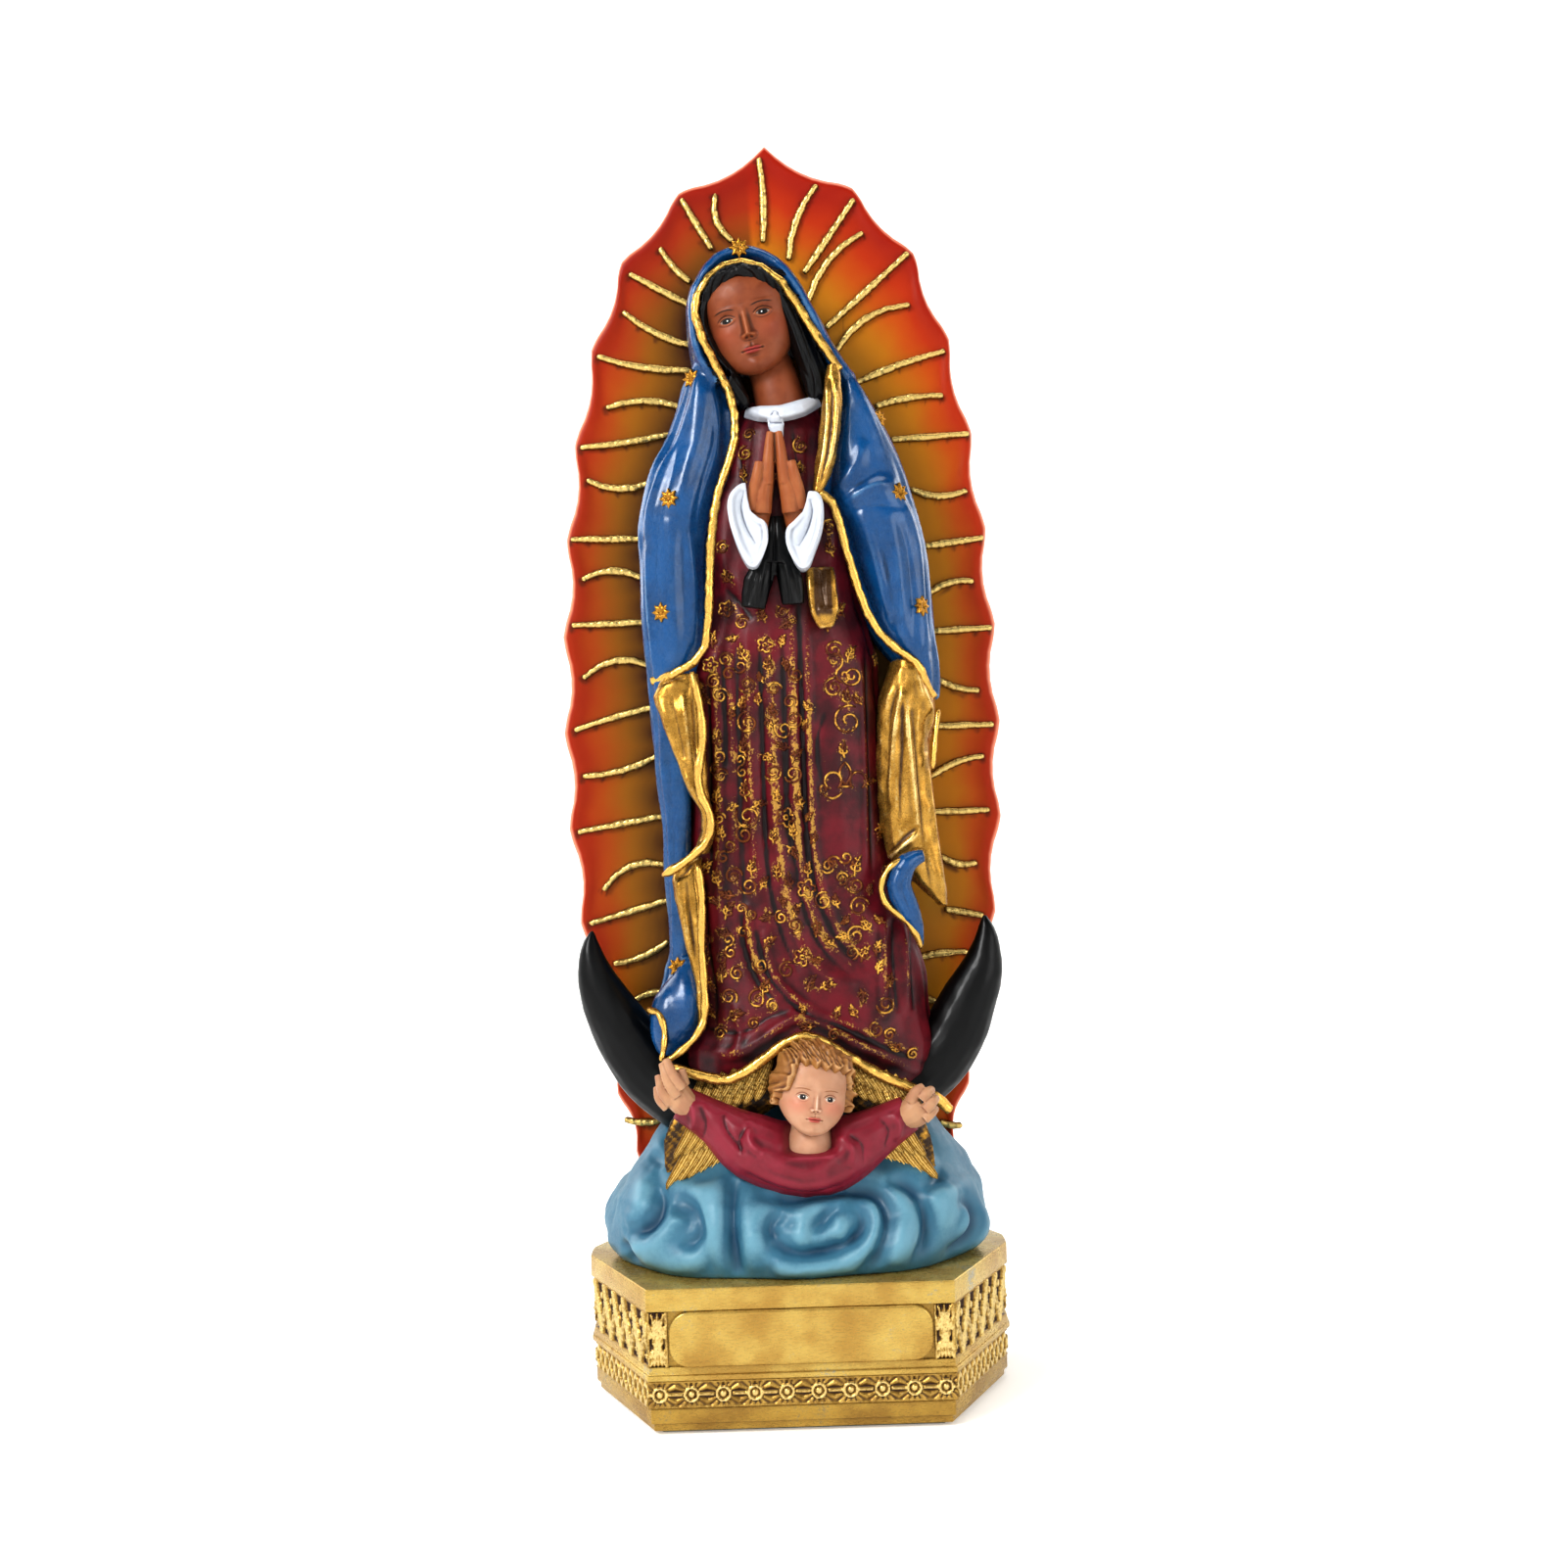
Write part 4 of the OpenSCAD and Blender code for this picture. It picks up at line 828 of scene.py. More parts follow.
gownFolds = [
    (-1.3, 0.8, [(-4.7, 176), (-4.8, 150), (-4.7, 130), (-4.3, 120), (-3, 112), (-1, 105), (2, 98)]),
    (-1.2, 0.8, [(0.5, 176), (0.6, 150), (0.6, 135), (2, 125), (4, 112), (8, 103), (14, 97)]),
    (-1.2, 0.8, [(4.7, 184), (4.7, 150), (5, 130), (6, 120), (8, 112), (12, 104), (18, 98)]),
    (-1.0, 0.7, [(-17, 168), (-17.2, 150), (-17.5, 135), (-17.8, 120)]),
    (-0.9, 0.7, [(-13.5, 174), (-13.4, 160), (-13.3, 146)]),
    (-1.1, 0.8, [(-10.3, 178), (-10.4, 160), (-10.3, 148), (-10.5, 130), (-10, 114)]),
    (-1.1, 0.7, [(20.2, 176), (20.2, 150), (20, 135), (19.8, 118)]),
    (-0.7, 0.6, [(10, 158), (8, 150), (9, 141)]),
    (-1.2, 0.9, [(24.5, 110), (24.3, 98), (24.6, 88)]),
    (-1.1, 0.9, [(29, 108), (28.8, 98), (28.6, 88)]),
    (-1.0, 0.8, [(-19.4, 120), (-19, 105), (-17.6, 95), (-17.4, 86)]),
    (1.0, 1.3, [(-2, 178), (-2.1, 150), (-2, 133), (-1.5, 126), (0, 115), (3, 105), (8, 98), (15, 94)]),
    (1.0, 1.2, [(3, 184), (2.9, 150), (3, 122), (4.5, 114), (7, 107), (12, 100)]),
    (0.8, 1.0, [(6.2, 184), (6.2, 150), (6.3, 130), (7.8, 118), (10.4, 110), (15, 103)]),
    (0.8, 0.9, [(18.9, 174), (19.1, 150), (19.0, 132), (18.8, 120)]),
    (0.7, 1.0, [(-15.2, 172), (-15.2, 150), (-15.4, 135), (-15.8, 118), (-15.6, 100)]),
    (0.8, 1.0, [(-7.6, 178), (-7.6, 160), (-7.5, 145), (-7.4, 130), (-7.2, 114)]),
    (0.9, 1.0, [(-9.4, 114), (-8.8, 105), (-6.3, 98), (-3, 94), (1, 92)]),
    (0.9, 1.0, [(-6, 108), (-4, 98), (2, 91.4), (8, 88), (18, 84)]),
    (-1.1, 0.8, [(-7.6, 108), (-5.2, 98), (-1, 92.8), (3, 89.2), (10, 86), (18, 82)]),
    (-1.0, 0.8, [(-11, 112), (-10.4, 104), (-7.8, 96.6), (-4, 92)]),
    (-0.9, 0.9, [(-22, 86), (-12, 85), (-5, 88.4), (0, 90)]),
    (-1.0, 0.9, [(1, 91), (6, 89), (12, 85.4), (20, 81), (31, 75.6)]),
    (1.0, 1.3, [(-23, 81), (-14, 80), (-8, 82.6), (-3, 86), (2, 88), (8, 86.6), (14, 82.5), (22, 78),
                (31, 73)]),
    (1.1, 1.0, [(22.2, 110), (21.7, 98), (21.2, 87)]),
    (1.1, 1.0, [(26.8, 110), (27.0, 98), (26.8, 87)]),
    (0.7, 1.0, [(-13, 92), (-12, 84), (-14, 79)]),
    (1.4, 2.6, [(-12.8, 214), (-13.4, 202), (-11.4, 192), (-7, 186)]),
    (1.4, 2.4, [(12.2, 210), (13.2, 200), (11, 191)]),
    (-0.9, 0.8, [(-12.4, 188), (-9, 184), (-6, 180)]),
    (-0.8, 0.7, [(-8.6, 224), (-8, 216), (-7.4, 210)]),
    (-0.7, 0.6, [(4.4, 226), (5.2, 218), (6.4, 211)]),
]
hemLine = [(-29, 78), (-24, 76.6), (-19.5, 75.2), (-14.5, 74.8), (-9, 77.4), (-4, 81), (1, 83.8), (5, 83.6),
           (10, 80.8), (16, 77), (22, 73.6), (27.5, 71.2), (32, 69.4), (36, 65)]


def makeGown():
    obj = sculpted("gown_body", ["gown"], 0.55, 12)
    places = spots(obj)
    hem = np.interp(places[:, 0], *np.array(hemLine).T)
    under = eased(0.2, 1.6, hem - places[:, 2])  # below the hem the front drops back under it
    places[:, 1] += under * np.clip(-6 - places[:, 1], 0, None)
    moveTo(obj, places)
    applied(obj, "REMESH", mode="VOXEL", voxel_size=0.56 * coarse * mm)
    settle(obj, 2)
    places, out = spots(obj), facing(obj)
    reach = eased(84, 100, places[:, 2]) * eased(182, 168, places[:, 2])
    places[:, 0] -= 2.6 * eased(-8, -17, places[:, 0]) * reach
    places[:, 0] += 1.4 * eased(10, 19, places[:, 0]) * reach
    side = eased(0.4, 0.9, np.abs(out[:, 0])) * eased(-9, -5, places[:, 1])
    pleats = 0.5 * np.sin(places[:, 1] * 1.3 + 0.03 * places[:, 2]) + 0.3 * ripple(places, 14, 6)
    moveTo(obj, places + out * (side * pleats)[:, None])
    pressFolds(obj, gownFolds)
    settle(obj, 1)
    obj.data.shade_smooth()
    return obj


def curl(x, z, size, turn=0, hand=1, turns=1.5):  # a spiral that winds in to its eye
    a = np.linspace(0, 1, 30)
    radius = size * (1 - 0.82 * a)
    angle = math.radians(turn) + hand * 2 * math.pi * turns * a
    return [np.stack([x + radius * np.cos(angle), z + radius * np.sin(angle)], 1)]


def scroll(x, z, size, turn=0, hand=1):  # an S of two curls on one stem
    c, s = math.cos(math.radians(turn)), math.sin(math.radians(turn))
    first = curl(-0.55, 0, 0.5, 0, hand, 1.2)[0][::-1]
    second = curl(0.45, 0, 0.5, 180, hand, 1.2)[0]
    both = np.vstack([first, second]) * size
    return [np.stack([x + both[:, 0] * c - both[:, 1] * s, z + both[:, 0] * s + both[:, 1] * c], 1)]


def bloom(x, z, size, turn=0, petals=5):  # a flower outline round a small ring
    a = np.linspace(0, 2 * math.pi, 46)
    radius = size * (0.55 + 0.45 * np.abs(np.cos(petals * a / 2 + math.radians(turn))))
    heart = size * 0.22
    return [np.stack([x + radius * np.cos(a), z + radius * np.sin(a)], 1),
            np.stack([x + heart * np.cos(a[::5]), z + heart * np.sin(a[::5])], 1)]


def sprig(x, z, size, turn=90, hand=1):  # a bent stem with pairs of leaves
    way = math.radians(turn)
    t = np.linspace(0, 1, 14)
    bend = 0.25 * hand * np.sin(math.pi * t)
    stem = np.stack([(t - 0.5) * 2, bend], 1) * size
    lines = [stem]
    for at in (3, 6, 9):
        for up in (1, -1):
            s = np.linspace(0, 1, 9)
            leaf = np.stack([s * 0.55, up * 0.5 * np.sin(math.pi * s * 0.8)], 1) * size * (1.1 - at / 14)
            lines.append(stem[at] + leaf)
    c, s = math.cos(way), math.sin(way)
    return [np.stack([x + p[:, 0] * c - p[:, 1] * s, z + p[:, 0] * s + p[:, 1] * c], 1) for p in lines]


def lily(x, z, size, turn=0):  # three petals tied at the waist
    t = np.linspace(0, 1, 16)
    petal = np.stack([0.24 * np.sin(math.pi * t), 0.95 * t - 0.05], 1)
    lines = [petal, petal * [-1, 1]]
    for side in (1, -1):
        a = np.linspace(-0.3, 1.35, 18) * math.pi
        lines.append(np.stack([side * (0.52 - 0.34 * np.cos(a)), 0.12 + 0.36 * np.sin(a)], 1))
        lines.append(np.stack([side * (0.15 + 0.85 * t), -0.35 - 0.25 * np.sin(math.pi * t)], 1))
        lines.append(np.stack([side * (0.95 - 0.12 * np.cos(a)), -0.2 + 0.14 * np.sin(a)], 1))
    lines.append(np.stack([t * 0.5 - 0.25, np.full(16, -0.12)], 1))
    return [np.stack([x + p[:, 0] * size, z + p[:, 1] * size], 1) for p in lines]


embroidery = [  # motif, x, z, size, turn
    (bloom, -16.4, 170, 1.5, 0), (curl, -15.6, 166, 1.5, 40), (sprig, -15.2, 176, 1.8, 80),
    (scroll, -10.5, 168.5, 2.6, 30), (curl, -7.8, 165, 1.7, 200), (sprig, -8.2, 172.4, 2.1, 110),
    (curl, -7.9, 156, 2.2, 90), (sprig, -8.6, 160.6, 1.8, 70), (bloom, -3.4, 174, 1.5, 0),
    (sprig, -2.4, 169.4, 1.9, 85), (curl, -1.6, 163.6, 1.4, 0), (curl, 0.4, 154.2, 2.0, 120),
    (sprig, -1.8, 158.6, 1.6, 100), (scroll, 13.6, 168.4, 3.4, 120), (curl, 12.6, 172.4, 1.8, 30),
    (curl, 16.6, 166.4, 2.0, 200), (sprig, 16.8, 171.4, 1.9, 60), (curl, 12.2, 163.6, 1.9, 80),
    (curl, 15.4, 155.8, 3.1, 60), (sprig, 15.6, 161.4, 1.9, 90), (sprig, 18, 161, 1.4, 120),
    (scroll, -15.3, 147.2, 2.5, 75), (curl, -14.6, 144, 1.4, 10), (scroll, -9.8, 146.2, 2.3, 100),
    (sprig, -14.8, 152.6, 1.9, 90), (sprig, -8.6, 150.4, 1.9, 95), (curl, -8.5, 134.3, 2.5, 150),
    (sprig, -8.6, 140.4, 2.2, 90), (bloom, 0.1, 133.8, 1.9, 20), (sprig, -1.4, 138.8, 1.6, 95),
    (sprig, -2.4, 129.6, 1.6, 80), (sprig, -15.2, 139, 2.0, 88), (curl, -15.4, 134, 1.3, 0),
    (lily, 14.3, 141.2, 4.6, 0), (sprig, 14.3, 149.2, 1.7, 90), (scroll, 12.4, 123.6, 2.6, 20),
    (sprig, 16.6, 122, 2.2, 70), (curl, 15.8, 117.6, 1.9, 100), (curl, 12.6, 119.4, 1.4, 250),
    (curl, 16.4, 112.6, 2.0, 10), (sprig, 18.2, 108.6, 1.8, 120), (bloom, 4.4, 117.2, 1.8, 0),
    (sprig, 5.2, 121.6, 1.6, 80), (curl, 8.2, 114.2, 1.8, 60), (sprig, 11.4, 114.2, 1.5, 100),
    (scroll, -13.8, 126.4, 2.5, 60), (sprig, -14.6, 130.6, 1.6, 90), (curl, -12.4, 120.6, 1.7, 0),
    (sprig, -15.8, 120.4, 2.0, 95), (curl, -8.8, 118.2, 1.7, 180), (sprig, -7.6, 122.6, 1.8, 80),
    (scroll, -9.6, 112.4, 2.2, 150), (sprig, -13.4, 112.6, 2.0, 60), (scroll, -13.8, 104.6, 2.4, 100),
    (sprig, -15.2, 98.4, 2.0, 80), (curl, -12.2, 98.2, 1.4, 60), (bloom, 3.0, 101.6, 1.7, 10),
    (sprig, 5.0, 95.6, 1.8, 60), (curl, 15.4, 106.0, 1.9, 40), (sprig, 17.6, 101.8, 1.8, 60),
    (sprig, 9.4, 105.2, 1.6, 130), (curl, -1.6, 110.8, 1.3, 90), (sprig, -12.6, 88.4, 2.0, 20),
    (curl, -16.4, 84.6, 1.3, 0), (curl, -8.6, 86.8, 1.2, 40), (sprig, 3.4, 86.4, 1.8, 170),
    (curl, 9.6, 83.9, 1.2, 0), (curl, 19.4, 84.6, 1.5, 90), (sprig, 23.8, 80.6, 1.7, 150),
    (curl, 27.6, 78.4, 1.2, 30), (bloom, -12.2, 183, 1.5, 20), (curl, -8.6, 179.4, 1.4, 20),
    (curl, 12.4, 201.4, 1.5, 60), (sprig, 12.8, 196.4, 1.8, 100), (curl, -12.6, 197.4, 1.3, 60),
    (sprig, -11.4, 190.6, 1.7, 120), (curl, -6.6, 219.4, 1.5, 80), (sprig, -6.9, 214.6, 1.5, 90),
    (curl, 6.4, 220.6, 1.6, 100), (sprig, 6.2, 215.4, 1.5, 90), (curl, -5.6, 224, 1.1, 0),
    (curl, 16.6, 186.4, 1.5, 30), (sprig, 14.6, 181.6, 1.8, 60), (sprig, -3.4, 181, 1.6, 100),
]
thread = {"radius": 0.33, "proud": 0.08, "reach": 1.0, "grow": 1.22, "fill": 90}


def layThread(gown):
    bpy.context.view_layer.update()
    skin = BVHTree.FromObject(gown, bpy.context.evaluated_depsgraph_get())
    runs, flats = [], []
    middles = [(x, z) for _, x, z, _, _ in embroidery]
    extra = []
    for _ in range(4000):  # small sprigs and curls fill the gaps between the drawn motifs
        x, z = rng.uniform(-19.5, 24), rng.uniform(82, 182)
        if len(extra) >= thread["fill"] or (6.4 < x < 19 and 124 < z < 178) or z < np.interp(
                x, *np.array(hemLine).T) + 5:
            continue
        if min(math.hypot(x - a, z - b) for a, b in middles) > 3.1:
            middles.append((x, z))
            extra.append(((sprig, curl, sprig)[len(extra) % 3], x, z, rng.uniform(1.2, 1.9),
                          rng.uniform(0, 360)))
    for motif, x, z, size, turn in embroidery + extra:
        for line in motif(x, z, size * thread["grow"], turn):
            hits = [skin.ray_cast(Vector((px * mm, -0.06, pz * mm)), Vector((0, 1, 0))) for px, pz in line]
            if any(hit[0] is None for hit in hits):
                continue
            up = np.array([hit[1] for hit in hits])
            points = np.array([hit[0] for hit in hits]) / mm + up * thread["proud"]
            if np.abs(np.diff(points[:, 1])).max() > 1.2:
                continue
            radii = np.full(len(points), thread["radius"])
            radii[[0, -1]] *= 0.5
            runs.append((points, radii, up))
            flats.append(line)
    obj = cords("gown_embroidery", runs, 6)
    gownFlat = spots(gown)[:, [0, 2]]
    gap = nearestGap(gownFlat, throughGrid(np.concatenate(flats), 0.3))
    front = eased(0.1, 0.5, -facing(gown)[:, 1])
    dust = np.exp(-(gap / thread["reach"]) ** 2)
    ridges = [(0.8, 0.9, row[2]) for row in gownFolds if row[0] > 0.95 and row[1] in (1.3, 1.0)]
    dust = dust * 1.1 + folded(gownFlat, ridges) * 0.62
    note(gown, "thread", np.clip(dust, 0, 1.2) * front * eased(60, 74, spots(gown)[:, 2]))
    return obj


gown = makeGown()
noteRelief(gown, 8, 0.3)
embroidered = layThread(gown)
show(gown, "gown_maroon", finish["maroonAcrylic"], "gown")
show(embroidered, "trim_gold", finish["threadGold"])
print("gown made")

# mantle

mantleFolds = [
    (1.0, 1.3, [(-17.4, 238), (-17.4, 231), (-18.6, 222), (-20.8, 214), (-22.4, 208)]),
    (0.5, 0.8, [(-15.4, 235), (-16, 227), (-18.2, 218)]),
    (-1.0, 0.9, [(-14.2, 233), (-13.6, 223), (-16.4, 213), (-18.6, 203), (-18.8, 190)]),
    (1.0, 1.6, [(-24.6, 225), (-27.8, 215), (-29.8, 207), (-30.8, 200)]),
    (-1.1, 1.0, [(-21.8, 224), (-24, 214), (-26.6, 206), (-28.2, 197), (-28.6, 184), (-28.4, 170)]),
    (1.0, 1.4, [(-24.4, 204), (-24.8, 190), (-24.6, 178), (-25, 171)]),
    (-0.9, 0.9, [(-21.6, 204), (-21.8, 190), (-21.6, 176)]),
    (0.9, 1.2, [(-19.8, 200), (-19.4, 186), (-19.6, 174)]),
    (0.9, 1.2, [(-30.6, 198), (-30.8, 184), (-30.4, 170)]),
    (-0.9, 0.8, [(-26.6, 150), (-26.6, 138), (-26.4, 124), (-26.8, 110)]),
    (0.7, 1.0, [(-23.6, 148), (-23.4, 136), (-23.8, 124)]),
    (0.9, 1.2, [(21.6, 221), (18.6, 214.4), (13.6, 208.8)]),
    (-1.3, 0.9, [(24.6, 214), (20, 210.4), (14.6, 207.2)]),
    (1.1, 1.1, [(28.4, 210.6), (22.6, 210), (15.6, 206.6)]),
    (-1.3, 0.9, [(30.4, 204.8), (26, 205.4), (20.6, 205.2), (16.4, 203.4)]),
    (1.0, 1.1, [(18.4, 204.6), (21, 199.6), (23.4, 191), (25.6, 180)]),
    (-1.0, 0.9, [(16.8, 200), (18.6, 192), (21.4, 184), (23.6, 177)]),
    (1.1, 1.3, [(31.6, 206), (33.2, 198), (34.2, 186), (34.6, 172)]),
    (-1.1, 0.9, [(27.4, 203.4), (30.2, 196), (31.2, 184), (31.6, 172)]),
    (0.9, 1.2, [(25.6, 203.6), (27.6, 194), (28.4, 184), (28.8, 174)]),
    (-0.8, 0.8, [(22.6, 200.6), (24.8, 192), (26.2, 182), (26.6, 175)]),
    (0.9, 1.4, [(19.4, 236), (23, 227), (26.8, 218), (29.4, 211)]),
    (-0.7, 1.0, [(17.8, 232), (20.2, 224), (22.8, 217), (25, 212)]),
    (-0.8, 1.0, [(-27.6, 97), (-26.8, 90), (-27.4, 84)]),
    (0.9, 1.2, [(-25.2, 100), (-24, 92), (-24.8, 85)]),
]


def makeMantle():
    obj = sculpted("mantle_cloth", ["mantle_left_side", "mantle_right_side", "mantle_hood",
                                    "mantle_left_corner"], 0.57, 9)
    places, out = spots(obj), facing(obj)
    x, y, z = places.T
    flank = eased(0.35, 0.85, np.abs(out[:, 0])) * eased(-13, -8, y)
    hooded = eased(236, 244, z)
    pleats = 0.55 * np.sin(y * 1.15 + 0.05 * z + np.sign(x)) + 0.35 * ripple(places, 16, 8)
    lift = flank * pleats * (1 - hooded) + 0.15 * ripple(places, 9, 9) * hooded
    moveTo(obj, places + out * lift[:, None])
    pressFolds(obj, [(depth * (0.5 if depth < 0 else 0.85), 1.3 * wide, line) for depth, wide,
                     line in mantleFolds])
    places = spots(obj)
    low = eased(104, 98, places[:, 2]) * eased(-16, -19, places[:, 0])
    places[:, 0] += low * 0.4 * (places[:, 0] + 25.6)
    moveTo(obj, places)
    settle(obj, 3)
    noteRelief(obj, 12, 0.26)
    show(obj, "mantle_blue", finish["blueAcrylic"], "mantle_left_side", "mantle_right_side", "mantle_hood",
         "mantle_left_corner")
    corner = sculpted("mantle_turned_corner", ["mantle_right_corner"], 0.3, 4)
    pressFolds(corner, [(-0.5, 0.6, [(29, 121), (26.4, 117), (28.6, 110)]),
                        (0.4, 0.8, [(26, 121), (24.6, 117), (27.6, 109)])])
    noteRelief(corner, 8, 0.14)
    show(corner, "mantle_blue", finish["blueAcrylic"], "mantle_right_corner")
    return obj


def makeTrim(name, nodeName, swell):
    obj = sculpted(name, [nodeName], 0.3, 3)
    places, out = spots(obj), facing(obj)
    places[:, 2] -= 1.2 * eased(251, 262, places[:, 2])
    uneven = 0.1 * ripple(places, 4, 12) + 0.05 * ripple(places, 1.6, 13)
    moveTo(obj, places + out * (uneven + swell)[:, None])
    noteFront(obj, -0.1, 0.75)
    show(obj, "trim_gold", finish["brightGold"], nodeName)


def makeStars(mantle):  # each star gets a raised rim round a sunk eye, and sits on the cloth
    obj = castOf("mantle_star_set", "mantle_stars")
    build = bmesh.new()
    build.from_mesh(obj.data)
    bmesh.ops.dissolve_limit(build, angle_limit=math.radians(1), verts=build.verts, edges=build.edges)
    fronts = [face for face in build.faces if len(face.verts) > 12 and face.normal.y < -0.1]
    for inset, push in ((0.35, 0.16), (0.5, 0.12), (0.45, -0.5)):
        bmesh.ops.inset_individual(build, faces=fronts, thickness=inset * mm, depth=push * mm)
    cloth = frontOf(mantle)
    left = set(build.verts)
    while left:  # one star after another
        star, grow = set(), [next(iter(left))]
        while grow:
            vert = grow.pop()
            if vert not in star:
                star.add(vert)
                grow += [edge.other_vert(vert) for edge in vert.link_edges]
        left -= star
        middle = sum((vert.co for vert in star), Vector()) / len(star)
        depth = cloth(middle.x / mm, middle.z / mm)
        if depth is not None:
            for vert in star:
                vert.co.y += depth * mm - 0.25 * mm - middle.y
    build.to_mesh(obj.data)
    build.free()
    applied(obj, "REMESH", mode="VOXEL", voxel_size=0.15 * coarse * mm)
    settle(obj, 1)
    noteRelief(obj, 6, 0.06)
    obj.data.shade_smooth()
    show(obj, "trim_gold", finish["brightGold"], "mantle_stars")


edgings = [  # radius and places of the rolled gold edges of the linings
    (1.0, [(-20.4, -17.4, 168), (-18.8, -18, 160), (-18.4, -18.4, 152), (-19.6, -18.6, 145),
           (-19.2, -18.8, 140), (-17.2, -18.8, 135), (-17.6, -18.8, 130), (-21, -18.8, 126),
           (-26, -18.2, 122.6), (-28.6, -16.4, 121.4)]),
    (0.85, [(-20.4, -17.8, 123.6), (-19.6, -18.2, 116), (-20, -18.4, 106), (-19.8, -18.8, 98),
            (-19.6, -19.2, 92), (-20.2, -19.6, 87.6), (-22.4, -20.2, 84), (-26, -20.8, 80.8),
            (-29.4, -20.6, 79)]),
    (0.75, [(-33.4, -13.4, 90.2), (-30.6, -16.4, 89.6), (-29.2, -17.6, 86), (-29.4, -18.6, 82),
            (-30, -19.4, 79)]),
    (0.8, [(31.6, -14.2, 125.4), (27.4, -16.6, 123.6), (23.6, -17.4, 121.4), (21.8, -17.6, 118),
          (22, -17.4, 114.6), (24.2, -17, 111.6), (27.6, -16, 108.6), (29.6, -14.6, 105.4),
          (30.6, -12.6, 102.6)]),
    (0.6, [(36.6, -11.6, 158), (35.6, -13.4, 152), (34.6, -14.4, 144)]),
]


def makeEdgings():
    runs = []
    for radius, points in edgings:
        path = throughPoints(points, 7)
        radii = radius * (1 + 0.12 * np.sin(np.arange(len(path)) * 0.7)) * np.sqrt(
            np.clip(np.sin(math.pi * np.linspace(0.02, 0.98, len(path))) * 4, 0.1, 1))
        runs.append((path, radii, np.tile([0.0, -1.0, 0.0], (len(path), 1))))
    obj = cords("lining_edges", runs, 12)
    places, out = spots(obj), facing(obj)
    moveTo(obj, places + out * (0.1 * ripple(places, 3, 14))[:, None])
    noteFront(obj, -0.1, 0.75)
    show(obj, "trim_gold", finish["brightGold"])


mantle = makeMantle()
makeTrim("mantle_edging", "mantle_trim", 0.05)
makeTrim("gown_hem_edging", "gown_hem_trim", 0.3)
makeStars(mantle)
makeEdgings()
print("mantle made")

# linings

linings = {
    "lining_left_upper": ("left_upper_lining", [
        (0.9, 0.9, [(-19.2, 168), (-18.4, 156), (-18.4, 144), (-17.4, 136), (-17.4, 130), (-19.6, 127)]),
        (-0.9, 0.7, [(-20.6, 165), (-20.0, 154), (-20, 144)]),
        (0.6, 0.8, [(-22.6, 164), (-22.2, 156), (-21.4, 147)]),
        (-0.8, 0.7, [(-25.4, 163), (-24.2, 156), (-22.6, 148)]),
        (0.8, 0.8, [(-28.6, 163), (-26.6, 156), (-24.2, 148), (-21.4, 141), (-18.8, 136)]),
        (-0.8, 0.6, [(-29.4, 165), (-26, 166.4), (-22, 167)])]),
    "lining_left_lower": ("left_lower_lining", [
        (0.9, 0.8, [(-26, 123), (-23, 124), (-20.4, 125.5)]),
        (-0.9, 0.6, [(-26, 120.6), (-23.6, 121.6), (-21.6, 123.6)]),
        (0.8, 0.8, [(-25.4, 120), (-24.2, 112), (-22.6, 102)]),
        (-0.8, 0.7, [(-23.2, 120), (-22.6, 112), (-21.6, 102)]),
        (0.8, 0.8, [(-21.2, 122), (-20.8, 112), (-20.4, 100), (-20.8, 90)])]),
    "lining_right": ("right_lining", [
        (1.0, 0.9, [(28.2, 168), (24.4, 160), (22.8, 150), (22.2, 138), (22.2, 124)]),
        (-1.1, 0.8, [(27.2, 164), (24.8, 156), (24, 146), (23.6, 134)]),
        (0.9, 0.8, [(28.2, 163), (26.2, 154), (24.8, 144), (23.8, 136)]),
        (-1.1, 0.8, [(28.2, 160), (27.6, 150), (26.8, 140), (26.4, 130)]),
        (0.9, 0.8, [(28.8, 162), (29.4, 150), (30.2, 138), (30.8, 128)]),
        (-0.9, 0.7, [(30.2, 158), (31, 148), (31.6, 138), (32.2, 126), (33.4, 116)]),
        (0.9, 1.0, [(31.2, 168), (32.8, 162), (35.0, 157), (35.2, 150)]),
        (0.9, 0.8, [(33.4, 148), (34, 138), (35, 126), (36.6, 115)]),
        (0.9, 0.7, [(22.2, 121.4), (26, 125.4), (30.6, 129)]),
        (-0.9, 0.6, [(24, 124.6), (27.6, 128.2), (31.2, 131)])]),
    "lining_lapel": ("front_lapel", [
        (0.7, 0.5, [(12.6, 237), (12.8, 228), (11.6, 218), (9.6, 210)]),
        (-0.8, 0.45, [(13.8, 236), (13.9, 228), (12.6, 218), (10.6, 211)]),
        (0.6, 0.45, [(14.9, 235), (15, 228), (13.8, 219), (11.6, 212)])]),
    "sleeve_lining": ("sleeve_tongue", [
        (0.8, 0.55, [(7.2, 191.6), (7.6, 184), (9, 178.4), (11.4, 177)]),
        (0.9, 0.6, [(13.2, 191), (13.4, 184), (13.2, 179), (11.6, 177)]),
        (-1.9, 1.7, [(10.2, 193), (10.3, 187), (10.8, 181.6)])]),
}


